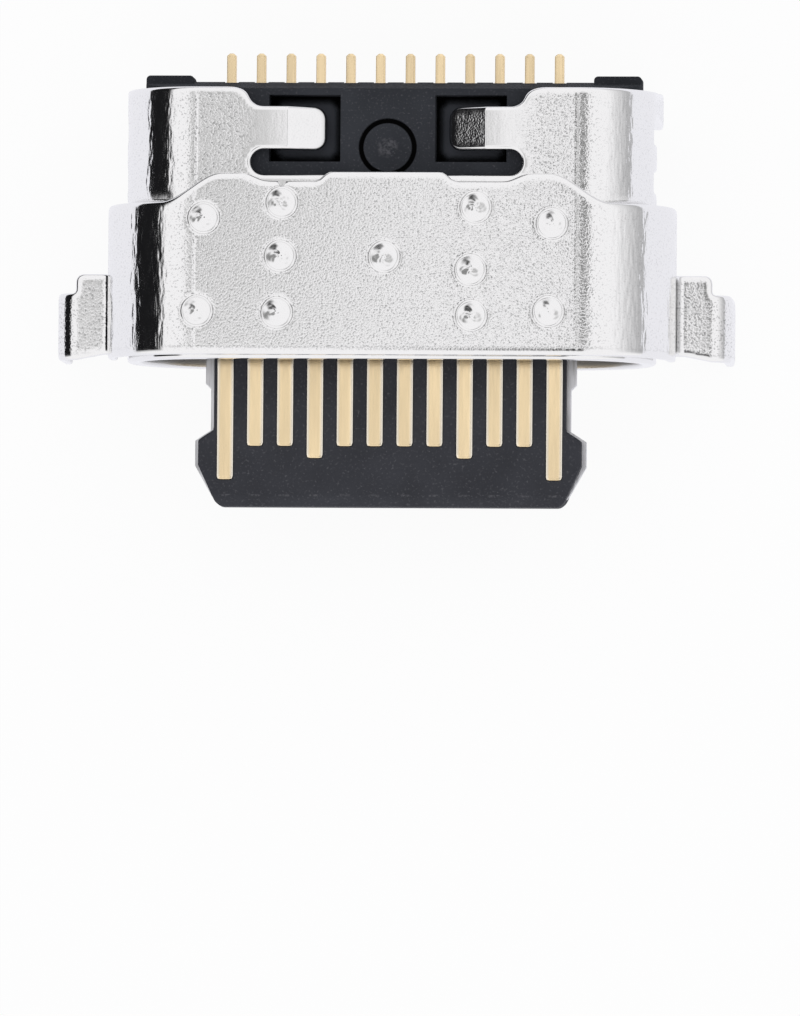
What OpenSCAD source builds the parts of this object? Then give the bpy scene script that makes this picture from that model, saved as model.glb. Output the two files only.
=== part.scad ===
// Charging port: a mid-mount board receptacle with 24 contacts.
// A black base with a flat tongue sits in a short steel tube, and a thin steel
// cover is welded over the tube. The contacts end in two rows of solder tails.
// Millimetres. The origin lies on the board, on the plain strip of the base's
// underside between the two rows of tails. The mouth faces -Y and +Z is up.
// The modules work in the mouth's own frame: X across, Y back from the front
// edge of the cover and Z up from the middle of the tongue.

/* [Mouth and tube] */
// Inside width of the mouth
mouth_w = 8.34; // [8.1:0.02:8.6]
// Inside height of the mouth
mouth_h = 2.56; // [2.4:0.02:2.7]
// Sheet thickness of the inner shell
shell_t = 0.25; // [0.18:0.01:0.28]
// How far the tube's rim stands out of the cover
rim_out = 0.06; // [0.02:0.01:0.12]
// Chamfer of the rim, inside and outside
rim_c = 0.06; // [0.02:0.01:0.08]
// Length of the closed tube behind the cover's front edge
tube_len = 2.92; // [2.7:0.02:3.1]
// How much shorter the tube is at its lower corners
corner_short = 0.12; // [0.05:0.01:0.2]
// Height of the tongue's middle above the board
tongue_lift = 0.45; // [0.42:0.01:0.6]

/* [Wings and fingers] */
// Length of the wings behind the tube
wing_len = 1.55; // [1.4:0.01:1.65]
// Half the opening between the wings
wing_in = 2.3; // [2.25:0.01:2.45]
// Run of the S-shaped step from a wing to its finger
wing_run = 0.47; // [0.35:0.01:0.55]
// Lower edge of the wings' sides above the tongue's middle
side_low = 0.25; // [0.2:0.01:0.4]
// Width of the slot in front of each finger
slot_w = 0.51; // [0.4:0.01:0.55]
// Half the distance between the round ends of the two slots
slot_reach = 2.26; // [2.2:0.01:2.4]
// Width of a finger
finger_w = 0.72; // [0.6:0.01:0.8]
// Half the distance between the fingers' tips
finger_tip_x = 1.05; // [0.95:0.01:1.3]
// Half the distance between the creases where the fingers turn steeper
finger_crease_x = 1.68; // [1.5:0.01:1.8]
// Angle by which the fingers dip before the crease
finger_dip = 8; // [4:1:12]
// Angle by which the fingers dip behind the crease
finger_steep = 27; // [18:1:29]
// Rounding of the fingers' tips
finger_r = 0.2; // [0.05:0.01:0.25]

/* [Lances and notches of the tube] */
// Distance of the lanced bridges from the tube's rear edge
lance_setback = 0.72; // [0.6:0.01:0.85]
// Half the distance between the two bridges
lance_x = 1.59; // [1.4:0.01:1.8]
// Length of a bridge
lance_l = 1.24; // [1:0.02:1.4]
// Width of a bridge's window
lance_w = 0.35; // [0.25:0.01:0.45]
// How far a bridge is pressed in
lance_press = 0.3; // [0.1:0.01:0.4]
// Half the distance between the two middle notches
notch_in = 0.57; // [0.45:0.01:0.65]
// Half the distance between the two outer notches
notch_out = 1.4; // [1.2:0.01:1.6]
// Radius of a notch
notch_r = 0.16; // [0.08:0.01:0.2]
// Depth of the shallow arch between two notches
arch_depth = 0.09; // [0.04:0.01:0.12]

/* [Legs and clinch tabs of the shell] */
// How far all four legs reach below the board
leg_depth = 1.28; // [1.2:0.02:1.6]
// Width of a rear leg
rear_leg_w = 0.61; // [0.4:0.01:0.7]
// How far the rear legs slant back behind the wings
rear_leg_back = 0.13; // [0.05:0.01:0.2]
// Chamfer at the tips of the legs
leg_tip = 0.12; // [0.04:0.01:0.18]
// Distance of the clinch tabs behind the tube
clinch_back = 0.23; // [0.18:0.01:0.3]
// Width of a clinch tab
clinch_w = 0.46; // [0.35:0.01:0.5]
// Width of a clinch tab at its tip
clinch_tip_w = 0.16; // [0.1:0.01:0.25]
// How far a clinch tab reaches in under the base
clinch_reach = 0.6; // [0.4:0.01:0.7]

/* [Cover] */
// Sheet thickness of the cover
cover_t = 0.15; // [0.1:0.01:0.2]
// Gap between the sides of the cover and the tube
cover_gap = 0.18; // [0.1:0.01:0.22]
// Inside radius of the cover's shoulders
cover_r = 1.42; // [1.38:0.01:1.46]
// How far the middle of the cover reaches past the tube
cover_over = 0.13; // [0.06:0.01:0.16]
// Depth of the two dips in the cover's rear edge
cover_dip = 0.16; // [0.05:0.01:0.25]
// How much shorter the cover is at its sides
cover_short = 0.5; // [0.3:0.01:0.6]
// Diameter of a weld spot
weld_d = 0.56; // [0.4:0.01:0.7]
// Depth of a weld spot
weld_depth = 0.03; // [0.01:0.005:0.05]

/* [Front ears and legs] */
// Distance of the ears behind the cover's front edge
ear_front = 0.11; // [0.04:0.01:0.2]
// Length of an ear beside the cover
ear_len = 1.35; // [1.25:0.01:1.6]
// How far a front leg stands ahead of its ear
leg_ahead = 0.09; // [0.02:0.01:0.2]
// Width of a front leg
front_leg_w = 1.12; // [0.9:0.01:1.2]
// How far the front legs stand out from the cover's side
leg_out = 0.905; // [0.8:0.005:1]
// Inside radius of the bend from the side to the ear
ear_r = 0.12; // [0.08:0.01:0.15]
// Outside radius of the bend from the ear to the leg
leg_r = 0.36; // [0.3:0.01:0.42]

/* [Tongue] */
// How far the tongue stands out of the cover
tongue_out = 2.45; // [2.3:0.01:2.7]
// Thickness of the tongue
tongue_t = 0.7; // [0.62:0.01:0.76]
// Lead-in chamfer at the tongue's tip
tongue_lead = 0.14; // [0.08:0.01:0.18]
// Plastic beside the outer contacts at the tongue's neck
neck_margin = 0.05; // [0.03:0.01:0.1]
// How far the tongue's shoulders stand out from its neck
shoulder_out = 0.26; // [0.15:0.01:0.32]
// How much narrower the tip is than the neck
tip_in = 0.02; // [0:0.01:0.1]
// Distance of the shoulders behind the tongue's tip
shoulder_back = 0.68; // [0.55:0.01:0.75]
// Length of the shoulders
shoulder_len = 0.42; // [0.3:0.01:0.5]
// Thickness of the middle plate
plate_t = 0.15; // [0.1:0.01:0.2]
// How far the middle plate shows beside the tongue
plate_show = 0.07; // [0.03:0.01:0.12]

/* [Contacts] */
// Spacing of the contacts
pitch = 0.5; // [0.48:0.005:0.52]
// Width of a contact on the tongue
contact_w = 0.28; // [0.22:0.01:0.32]
// Thickness of a contact
contact_t = 0.13; // [0.1:0.01:0.16]
// How far a contact stands proud of the tongue
contact_proud = 0.02; // [0.01:0.005:0.03]
// Distance of the ground contacts behind the tongue's tip
ground_back = 0.44; // [0.35:0.01:0.55]
// Distance of the power contacts behind the tongue's tip
power_back = 0.8; // [0.7:0.01:0.9]
// Distance of the signal contacts behind the tongue's tip
signal_back = 1; // [0.9:0.01:1.15]
// Width of a solder tail
tail_w = 0.2; // [0.16:0.01:0.24]
// Width at the end of a rear tail
tail_end_w = 0.16; // [0.12:0.01:0.2]
// How far the rear tails reach behind the base
tail_out = 0.47; // [0.4:0.01:0.7]
// Length of the inner tails that shows on the underside
inner_tail = 1.04; // [0.9:0.02:1.08]

/* [Base] */
// Depth of the base inside the tube
plug_len = 0.97; // [0.9:0.01:1.05]
// Clearance between the base and the shell
fit = 0.02; // [0.01:0.005:0.03]
// Length of the base's underside behind the tube
base_len = 1.78; // [1.75:0.01:1.9]
// Distance of the origin behind the tube, along the base's underside
seat_back = 1.28; // [1.2:0.01:1.36]
// Slant of the base's rear face
draft = 0.24; // [0.1:0.01:0.28]
// Depth of the finger pockets below the fingers' tips
pocket_clear = 0.08; // [0.04:0.01:0.15]
// Height of the thick root of the tongue above and below the tongue
root_step = 0.25; // [0.2:0.01:0.35]
// Length of the thick root
root_len = 0.9; // [0.7:0.01:1]
// Sheet thickness of the two ground shields
shield_t = 0.1; // [0.08:0.01:0.14]
// Diameter of the round moulding mark on top
gate_d = 0.97; // [0.8:0.01:1.05]

/* [Hidden] */
$fn = 48;
CONTACTS = 12;
STEEL = [0.78, 0.79, 0.80];
PLASTIC = [0.15, 0.15, 0.17];
GOLD = [0.86, 0.72, 0.44];
// Overlap of shapes that join, and overreach of cutters
joint = 0.04;
far = 20;

// Shell
shell_w = mouth_w + 2 * shell_t;
shell_h = mouth_h + 2 * shell_t;
flat_half = (mouth_w - mouth_h) / 2;
side_in = mouth_w / 2;
side_out = shell_w / 2;
top_z = shell_h / 2;
board_z = -tongue_lift;
leg_z = board_z - leg_depth;
rim_y = -rim_out;
corner_out = 0.2;
corner_x = flat_half + corner_out;
wing_back = tube_len + wing_len;
slot_c = slot_reach - slot_w / 2;
finger_front = tube_len + slot_w;
finger_back = finger_front + finger_w;
finger_root = 0.08;
finger_bend_x = slot_c - finger_root;
crease_drop = (finger_bend_x - finger_crease_x) * tan(finger_dip);
finger_drop = crease_drop + (finger_crease_x - finger_tip_x) * tan(finger_steep);
// The S-shaped step is two equal arcs
step_rise = wing_back - finger_back;
step_turn = 2 * atan(step_rise / wing_run);
step_r = wing_run / (2 * sin(step_turn));
rear_leg_y1 = wing_back + rear_leg_back;
rear_leg_y0 = rear_leg_y1 - rear_leg_w;
lance_y = tube_len - lance_setback;
lance_shear = 0.03;
clinch_y0 = tube_len + clinch_back;
clinch_y1 = clinch_y0 + clinch_w;
clinch_tip_x = side_in - clinch_reach;
clinch_r = 0.08;
clinch_lift = 0.02;
clinch_c = board_z + clinch_lift + shell_t + clinch_r;

// Cover
cover_in = side_out + cover_gap;
cover_out = cover_in + cover_t;
cover_top = top_z + cover_t;
cover_back = tube_len + cover_over;
ear_top = board_z + cover_t;
ear_back = ear_front + ear_len;
ear_flat_x = cover_out + ear_r;
leg_y0 = ear_front - leg_ahead;
leg_y1 = leg_y0 + front_leg_w;
ear_leg_x = cover_out + leg_out;
ear_step = 0.04;
ear_step_x = ear_leg_x - leg_r + ear_step;
ear_corner_r = 0.14;
// Stretches of the rear edge's dip, from the fingers' tips and the slots' ends
dip_fall = [-0.1, 0.15];
dip_rise = [-0.3, 0.15];
// Share of the dip that the edge rises again
dip_regain = 0.85;
// Stretch of the slope to the short side, from the end of the flat top
side_slope = [-0.15, 0.85];
// Share by which a weld spot narrows towards its floor
weld_slope = 0.4;
// Weld spots, as places across and back from the front edge
WELDS = [
    [-3.03, 2.27], [-1.73, 2.56], [1.5, 2.46], [2.77, 2.19], [-1.75, 1.64], [-0.02, 1.63],
    [1.42, 1.42], [-3.13, 0.72], [-1.8, 0.7], [1.44, 0.66], [2.72, 0.73]
];

// Tongue and middle plate
contact_span = (CONTACTS - 1) / 2 * pitch;
neck_half = contact_span + contact_w / 2 + neck_margin;
shoulder_half = neck_half + shoulder_out;
tip_half = neck_half - tip_in;
tip_y = -tongue_out;
tip_r = 0.08;
neck_taper = 0.17;
shoulder_y0 = tip_y + shoulder_back;
shoulder_y1 = shoulder_y0 + shoulder_len;
neck_y = shoulder_y1 + neck_taper;
base_y = tube_len - plug_len;
wafer_in = 0.12;
wafer_back = base_y + wafer_in;
plate_tip = 0.1;
plate_root_back = 2.05;
plate_root_y = tip_y + plate_root_back;
plate_root_out = 0.09;

// Contacts
ground_y = tip_y + ground_back;
power_y = tip_y + power_back;
signal_y = tip_y + signal_back;
contact_top = tongue_t / 2 + contact_proud;
contact_tip_r = 0.06;
bend_r = 0.1;
rear_y = tube_len + base_len;
tail_y = rear_y + tail_out;
tail_taper = 0.1;
notch_len = 0.32;
notch_y = rear_y - notch_len;
turn_y = notch_y - contact_t - bend_r;
// Stretches behind the base's front where upper contacts narrow and lower ones step aside
narrow = [0.1, 0.4];
jog = [0.25, 0.65];
narrow_y0 = base_y + narrow[0];
narrow_y1 = base_y + narrow[1];
jog_y0 = base_y + jog[0];
jog_y1 = base_y + jog[1];
inner_tail_y = tube_len + inner_tail;
groove_side = 0.02;
groove_end = 0.06;

// Base
base_half = side_in - fit;
base_top = mouth_h / 2 - fit;
step_back = 0.13;
step_y = tube_len + step_back;
seat_y = tube_len + seat_back;
root_out = 0.14;
root_half = shoulder_half + root_out;
root_z = tongue_t / 2 + root_step;
root_y = base_y - root_len;
// Room of a pocket at the finger's tip, before and behind it, and its wall at the slot's end
pocket_tip = 0.26;
pocket_front = 0.19;
pocket_rear = 0.2;
pocket_wall = 0.28;
pocket_x0 = finger_tip_x - pocket_tip;
pocket_x1 = slot_reach - pocket_wall;
pocket_y0 = finger_front - pocket_front;
pocket_y1 = finger_back + pocket_rear;
pocket_z = mouth_h / 2 - finger_drop - pocket_clear;
gate_back = 0.56;
gate_y = tube_len + gate_back;
gate_groove = 0.08;
gate_depth = 0.05;
block_w = 0.8;
block_h = 0.46;
block_back = 0.07;
block_r = 0.07;
// Feet of the plate: distance from the base's side and rear, and width
foot_in = 0.16;
foot_short = 0.07;
foot_w = 0.55;
foot_out = base_half - foot_in;
foot_y = rear_y - foot_short;
// Arms of the plate: distance in front of the contacts' turn, and width
arm_short = 0.3;
arm_w = 0.5;
plate_back = turn_y - arm_short;
arm_y = plate_back - arm_w;
window_l = 0.14;
// Round marks of the ejector pins: distance from the side and behind the clinch tabs
pin_in = 0.57;
pin_back = 0.31;
pin_d = 0.44;
pin_depth = 0.015;

// Shields
shield_in = 0.3;
shield_half = root_half - shield_in;
shield_rise = 0.45;

function contact_names(row) = [for (i = [1:CONTACTS]) str(row, "_contact_", i)];

// Carries a shape from the mouth's frame to the board's frame
module placed() {
    translate([0, -seat_y, tongue_lift]) children();
}

// The shape and its mirror image across the middle of the port
module both_sides() {
    children();
    mirror([1, 0, 0]) children();
}

// The shape's mirror image, turned over about the middle of the tongue
module underside() {
    mirror([0, 0, 1]) children();
}

// A flat shape drawn in X and Z, carried back from y0 to y1
module along_y(y0, y1) {
    translate([0, y1, 0]) rotate([90, 0, 0]) linear_extrude(y1 - y0) children();
}

// A flat shape drawn in Y and Z, carried across from x0 to x1
module along_x(x0, x1) {
    translate([x0, 0, 0]) rotate([90, 0, 90]) linear_extrude(x1 - x0) children();
}

// A flat shape drawn in X and Y, carried up from z0 to z1
module along_z(z0, z1) {
    translate([0, 0, z0]) linear_extrude(z1 - z0) children();
}

// A slab with two round ends, the section of the mouth
module stadium(w, h) {
    square([w - h, h], center = true);
    for (s = [-1, 1]) translate([s * (w - h) / 2, 0]) circle(d = h);
}

// A slab with round ends whose half height goes from r0 at y0 to r1 at y1
module stadium_cone(r0, r1, y0, y1) {
    along_x(-flat_half, flat_half) polygon([[y0, -r0], [y1, -r1], [y1, r1], [y0, r0]]);
    for (s = [-1, 1]) translate([s * flat_half, y0, 0]) rotate([-90, 0, 0])
        cylinder(h = y1 - y0, r1 = r0, r2 = r1);
}

// An arch with round shoulders: straight sides from low, a flat top
module arch(half, top, r, low) {
    intersection() {
        translate([-half, low]) square([2 * half, top - low]);
        union() {
            translate([-half, low]) square([2 * half, top - r - low]);
            translate([r - half, low]) square([2 * (half - r), top - low]);
            for (s = [-1, 1]) translate([s * (half - r), top - r]) circle(r);
        }
    }
}

// A quarter of a ring about the origin, from the first to the second axis,
// where sx and sy are the signs of the quadrant
module bend(r_in, t, sx, sy) {
    intersection() {
        difference() {
            circle(r_in + t);
            circle(r_in);
        }
        translate([sx > 0 ? 0 : -r_in - t, sy > 0 ? 0 : -r_in - t]) square(r_in + t);
    }
}

// Inner shell

// The open section behind the tube: a flat top, round corners, straight sides
module rear_section() {
    difference() {
        union() {
            stadium(shell_w, shell_h);
            translate([-side_out, leg_z]) square([shell_w, -leg_z]);
        }
        stadium(mouth_w, mouth_h);
        translate([-side_in, leg_z - joint]) square([mouth_w, joint - leg_z]);
    }
}

// Two notches and the shallow arch between them, cut from the tube's lower edge
module edge_notches() {
    for (x = [notch_in, notch_out]) translate([x, tube_len]) circle(notch_r);
    translate([notch_in, tube_len - arch_depth]) square([notch_out - notch_in, far]);
}

module shell_tube() {
    difference() {
        union() {
            stadium_cone(top_z - rim_c, top_z, rim_y, rim_y + rim_c);
            along_y(rim_y + rim_c, tube_len) stadium(shell_w, shell_h);
        }
        stadium_cone(mouth_h / 2 + rim_c + joint, mouth_h / 2, rim_y - joint, rim_y + rim_c);
        along_y(rim_y - joint, tube_len + joint) stadium(mouth_w, mouth_h);
        both_sides() {
            translate([corner_x, tube_len - corner_short, side_low - far]) cube(far);
            translate([lance_x - lance_l / 2, lance_y - lance_w / 2, -far]) cube([lance_l, lance_w, far]);
            along_z(-far, 0) edge_notches();
        }
    }
}

// A strip of the tube's floor pressed in to a V between two shear lines
module lance() {
    low = -top_z;
    high = -mouth_h / 2;
    y0 = lance_y - lance_w / 2 + lance_shear;
    y1 = lance_y + lance_w / 2 - lance_shear;
    x0 = lance_x - lance_l / 2;
    x1 = lance_x + lance_l / 2;
    along_y(y0, y1) polygon([
        [x0, low], [lance_x, low + lance_press], [x1, low],
        [x1, high], [lance_x, high + lance_press], [x0, high]
    ]);
}

// The S-shaped step from a wing to its finger, seen from above
module wing_step() {
    x0 = wing_in - wing_run / 2;
    x1 = wing_in + wing_run / 2;
    difference() {
        polygon([
            [x0, finger_back - joint], [x1, finger_back - joint], [x1, wing_back - step_r],
            [wing_in, (finger_back + wing_back) / 2], [x0, finger_back]
        ]);
        translate([x0, finger_back + step_r]) circle(step_r);
    }
    intersection() {
        translate([x1, wing_back - step_r]) circle(step_r);
        translate([wing_in, finger_front]) square([far, far]);
    }
}

// The flat part of a wing with the root of its finger, seen from above
module wing_plan() {
    difference() {
        union() {
            translate([slot_c, tube_len - joint]) square([far, finger_back - tube_len + joint]);
            translate([finger_bend_x, finger_front]) square([slot_c - finger_bend_x, finger_w]);
            translate([wing_in + wing_run / 2, finger_front]) square([far, wing_back - finger_front]);
            wing_step();
        }
        translate([slot_c, tube_len + slot_w / 2]) circle(d = slot_w);
    }
}

// The dipped part of a finger
module finger() {
    tip_in_x = finger_tip_x + finger_r;
    intersection() {
        along_y(finger_front, finger_back) polygon([
            [finger_bend_x, top_z], [finger_bend_x, top_z - shell_t],
            [finger_crease_x, top_z - shell_t - crease_drop],
            [finger_tip_x, top_z - shell_t - finger_drop], [finger_tip_x, top_z - finger_drop],
            [finger_crease_x, top_z - crease_drop]
        ]);
        along_z(0, shell_h) union() {
            translate([tip_in_x, finger_front]) square([far, finger_w]);
            translate([finger_tip_x, finger_front + finger_r]) square([far, finger_w - 2 * finger_r]);
            for (y = [finger_front + finger_r, finger_back - finger_r])
                translate([tip_in_x, y]) circle(finger_r);
        }
    }
}

// A rear leg seen from the side: its rear edge slants back from the wing to the chamfered tip
module rear_leg_side() {
    polygon([
        [rear_leg_y0, leg_z + leg_tip], [rear_leg_y0 + leg_tip, leg_z],
        [rear_leg_y1 - leg_tip, leg_z], [rear_leg_y1, leg_z + leg_tip],
        [wing_back, side_low], [wing_back, side_low + joint], [rear_leg_y0, side_low + joint]
    ]);
}

// A tab bent in under the base from the lower edge of a wing
module clinch() {
    foot_x = side_in - clinch_r;
    intersection() {
        along_y(clinch_y0, clinch_y1) union() {
            translate([side_in, clinch_c]) square([shell_t, side_low + joint - clinch_c]);
            translate([foot_x, clinch_c]) bend(clinch_r, shell_t, 1, -1);
            translate([clinch_tip_x, board_z + clinch_lift]) square([foot_x - clinch_tip_x, shell_t]);
        }
        along_z(-far, far) polygon([
            [side_out + joint, clinch_y0], [foot_x, clinch_y0],
            [clinch_tip_x, clinch_y1 - clinch_tip_w], [clinch_tip_x, clinch_y1],
            [side_out + joint, clinch_y1]
        ]);
    }
}

module inner_shell() {
    color(STEEL) placed() union() {
        shell_tube();
        both_sides() {
            lance();
            finger();
            clinch();
        }
        intersection() {
            along_y(tube_len - joint, rear_leg_y1) rear_section();
            union() {
                along_z(side_low, far) both_sides() wing_plan();
                along_x(-far, far) rear_leg_side();
            }
        }
    }
}

// Outer cover

function ease(t) = let (u = max(0, min(1, t))) u * u * (3 - 2 * u);
// From 0 to 1 as x passes the stretch, which is given from a place
function blend(x, place, stretch) = ease((x - place - stretch[0]) / (stretch[1] - stretch[0]));

// Rear edge of the cover at a distance x from the middle: straight in the
// middle, a dip over each finger slot, then a slope down to the short side
function cover_edge(x) =
    cover_back
    - cover_dip * blend(x, finger_tip_x, dip_fall)
    + cover_dip * dip_regain * blend(x, slot_reach, dip_rise)
    - (cover_short - cover_dip * (1 - dip_regain)) * blend(x, flat_half, side_slope);

module cover_plan() {
    steps = 60;
    edge = [for (i = [-steps:steps]) let (x = i / steps * cover_out) [x, cover_edge(abs(x))]];
    polygon(concat([[cover_out, 0], [-cover_out, 0]], edge));
}

module cover_section() {
    difference() {
        arch(cover_out, cover_top, cover_r + cover_t, ear_top + ear_r);
        arch(cover_in, top_z, cover_r, board_z);
    }
}

// Section of an ear and its leg, bent out from the cover's side and then down
module ear_section() {
    leg_c = ear_leg_x - leg_r;
    translate([ear_flat_x, ear_top + ear_r]) bend(ear_r, cover_t, -1, -1);
    translate([ear_flat_x, board_z]) square([leg_c - ear_flat_x, cover_t]);
    translate([leg_c, ear_top - leg_r]) bend(leg_r - cover_t, cover_t, 1, 1);
    translate([ear_leg_x - cover_t, leg_z]) square([cover_t, ear_top - leg_r - leg_z]);
}

// An ear seen from above: its front edge slants out to the leg, which is
// narrower, and a round corner stands beside the leg
module ear_plan() {
    corner_x = ear_step_x - ear_corner_r;
    corner_y = ear_back - ear_corner_r;
    polygon([
        [0, ear_front], [ear_flat_x, ear_front], [ear_step_x, leg_y0], [far, leg_y0],
        [far, leg_y1], [ear_step_x, leg_y1], [ear_step_x, corner_y], [corner_x, corner_y],
        [corner_x, ear_back], [0, ear_back]
    ]);
    translate([corner_x, corner_y]) circle(ear_corner_r);
}

// A front leg seen from the side, with its chamfered tip
module front_leg_side() {
    polygon([
        [leg_y0, far], [leg_y0, leg_z + leg_tip], [leg_y0 + leg_tip, leg_z],
        [leg_y1 - leg_tip, leg_z], [leg_y1, leg_z + leg_tip], [leg_y1, ear_top - leg_r],
        [ear_back, ear_top - leg_r], [ear_back, far]
    ]);
}

module ear() {
    intersection() {
        along_y(leg_y0, ear_back) ear_section();
        along_z(-far, far) ear_plan();
        along_x(0, far) front_leg_side();
    }
}

module outer_cover() {
    color(STEEL) placed() difference() {
        union() {
            intersection() {
                along_y(0, cover_back) cover_section();
                along_z(-far, far) cover_plan();
            }
            both_sides() ear();
        }
        for (w = WELDS)
            translate([w[0], w[1], cover_top - weld_depth])
                cylinder(h = 2 * weld_depth, d1 = (1 - weld_slope) * weld_d, d2 = (1 + weld_slope) * weld_d);
    }
}

// Tongue

// Right half of the tongue's outline, widened by out beside the neck and cut at y_tip
function tongue_side(out, y_tip) = [
    [tip_half + out - tip_r, y_tip], [tip_half + out, y_tip + tip_r],
    [shoulder_half + out, shoulder_y0], [shoulder_half + out, shoulder_y1],
    [neck_half + out, neck_y]
];

function mirrored(points) = [for (i = [len(points) - 1:-1:0]) [-points[i][0], points[i][1]]];
function whole(points) = concat(points, mirrored(points));

module tongue_plan() {
    polygon(whole(concat(tongue_side(0, tip_y), [[neck_half, wafer_back]])));
}

// Upper half of the tongue seen from the side, with the lead-in at its tip
module tongue_half_side() {
    half = tongue_t / 2;
    polygon([
        [tip_y, 0], [tip_y, half - tongue_lead], [tip_y + tongue_lead, half],
        [wafer_back, half], [wafer_back, 0]
    ]);
}

module tongue_half() {
    intersection() {
        along_z(0, tongue_t) tongue_plan();
        along_x(-far, far) tongue_half_side();
    }
}

module upper_wafer() {
    color(PLASTIC) placed() difference() {
        tongue_half();
        plate_solid();
        for (i = [1:CONTACTS]) upper_contact_solid(i);
    }
}

module lower_wafer() {
    color(PLASTIC) placed() difference() {
        underside() tongue_half();
        plate_solid();
        for (i = [1:CONTACTS]) lower_contact_solid(i);
    }
}

// Middle plate: it fills the tongue, widens in the base and ends in two feet
module plate_plan() {
    root = neck_half + plate_show + plate_root_out;
    polygon(whole(concat(
        tongue_side(plate_show, tip_y + plate_tip),
        [[neck_half + plate_show, plate_root_y - plate_root_out], [root, plate_root_y]],
        [[root, arm_y], [foot_out, arm_y], [foot_out, plate_back], [root, plate_back]]
    )));
}

// A foot of the plate seen from the side: a slope down to the board and a flat end
module foot_side() {
    half = plate_t / 2;
    slope_y = plate_back + half - board_z - plate_t;
    polygon([
        [plate_back - joint, half], [plate_back, half], [slope_y, board_z + plate_t],
        [foot_y, board_z + plate_t], [foot_y, board_z], [slope_y - joint, board_z],
        [plate_back - joint, -half]
    ]);
}

module plate_solid() {
    along_z(-plate_t / 2, plate_t / 2) plate_plan();
    both_sides() along_x(foot_out - foot_w, foot_out) foot_side();
}

module mid_plate() {
    color(STEEL) placed() plate_solid();
}

// Contacts

function contact_x(i) = (i - (CONTACTS + 1) / 2) * pitch;
// The two outer contacts of a row reach furthest forward, then the power contacts
function contact_y(i) =
    let (k = min(i, CONTACTS + 1 - i)) k == 1 ? ground_y : k == 4 ? power_y : signal_y;

// Two round corners at the front end of a contact
module contact_tip(x, y) {
    side = contact_w / 2 - contact_tip_r;
    for (s = [-1, 1]) translate([x + s * side, y + contact_tip_r]) circle(contact_tip_r);
    translate([x - side, y]) square([2 * side, contact_tip_r]);
}

// Outline of a strip with the half widths and places in stations [x, half, y]
module strip(stations) {
    right = [for (s = stations) [s[0] + s[1], s[2]]];
    left = [for (i = [len(stations) - 1:-1:0]) [stations[i][0] - stations[i][1], stations[i][2]]];
    polygon(concat(right, left));
}

module upper_contact_plan(i) {
    x = contact_x(i);
    y = contact_y(i);
    contact_tip(x, y);
    strip([
        [x, contact_w / 2, y + contact_tip_r], [x, contact_w / 2, narrow_y0],
        [x, tail_w / 2, narrow_y1], [x, tail_w / 2, rear_y - tail_taper],
        [x, tail_end_w / 2, rear_y], [x, tail_end_w / 2, tail_y]
    ]);
}

// An upper contact seen from the side: along the tongue, down, back to the tail
module upper_contact_side() {
    run_z = contact_top - contact_t;
    tail_c = turn_y + 2 * bend_r + contact_t;
    translate([tip_y, run_z]) square([turn_y - tip_y, contact_t]);
    translate([turn_y, run_z - bend_r]) bend(bend_r, contact_t, 1, 1);
    translate([turn_y + bend_r, board_z + contact_t + bend_r])
        square([contact_t, run_z - board_z - contact_t - 2 * bend_r]);
    translate([tail_c, board_z + contact_t + bend_r]) bend(bend_r, contact_t, -1, -1);
    translate([tail_c, board_z]) square([tail_y - tail_c, contact_t]);
}

module upper_contact_solid(i) {
    x = contact_x(i);
    intersection() {
        along_z(-far, far) upper_contact_plan(i);
        along_x(x - contact_w, x + contact_w) upper_contact_side();
    }
}

// A lower contact steps out by half a pitch, so the row leaves a gap in its middle
module lower_contact_plan(i) {
    x = contact_x(i);
    x_tail = x + sign(x) * pitch / 2;
    y = contact_y(i);
    contact_tip(x, y);
    strip([
        [x, contact_w / 2, y + contact_tip_r], [x, contact_w / 2, jog_y0],
        [x_tail, tail_w / 2, jog_y1], [x_tail, tail_w / 2, inner_tail_y]
    ]);
}

// A lower contact seen from the side: along the tongue, then a small step to the board
module lower_contact_side() {
    polygon([
        [tip_y, -contact_top], [jog_y0, -contact_top], [jog_y1, board_z], [inner_tail_y, board_z],
        [inner_tail_y, board_z + contact_t], [jog_y1, board_z + contact_t],
        [jog_y0, contact_t - contact_top], [tip_y, contact_t - contact_top]
    ]);
}

module lower_contact_solid(i) {
    x = contact_x(i);
    intersection() {
        along_z(-far, far) lower_contact_plan(i);
        along_x(x - 2 * pitch, x + 2 * pitch) lower_contact_side();
    }
}

module upper_contact(i) {
    color(GOLD) placed() upper_contact_solid(i);
}

module lower_contact(i) {
    color(GOLD) placed() lower_contact_solid(i);
}

// Base

// The base behind the tube: under the wings above, down to the board below
module base_section() {
    intersection() {
        stadium(2 * base_half, 2 * base_top);
        translate([-base_half, 0]) square([2 * base_half, base_top]);
    }
    translate([-base_half, board_z]) square([2 * base_half, -board_z]);
}

module base_side() {
    polygon([
        [tube_len + fit, board_z], [rear_y, board_z], [rear_y - draft, base_top],
        [tube_len + fit, base_top]
    ]);
}

// A block at a rear corner of the base, with two round corners
module corner_block() {
    x0 = base_half - block_w;
    y0 = rear_y - draft;
    y1 = rear_y + block_back - block_r;
    along_z(board_z, board_z + block_h) {
        translate([x0, y0]) square([block_w, y1 - y0]);
        translate([x0 + block_r, y0]) square([block_w - 2 * block_r, draft + block_back]);
        for (x = [x0 + block_r, base_half - block_r]) translate([x, y1]) circle(block_r);
    }
}

module base_body() {
    along_y(base_y, step_y) stadium(2 * base_half, 2 * base_top);
    along_y(root_y, base_y + joint) square([2 * root_half, 2 * root_z], center = true);
    intersection() {
        along_y(tube_len + fit, rear_y) base_section();
        along_x(-base_half, base_half) base_side();
    }
    both_sides() corner_block();
}

// Room for a finger to dip into the base
module pocket() {
    translate([pocket_x0, pocket_y0, pocket_z])
        cube([pocket_x1 - pocket_x0, pocket_y1 - pocket_y0, far]);
}

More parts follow.
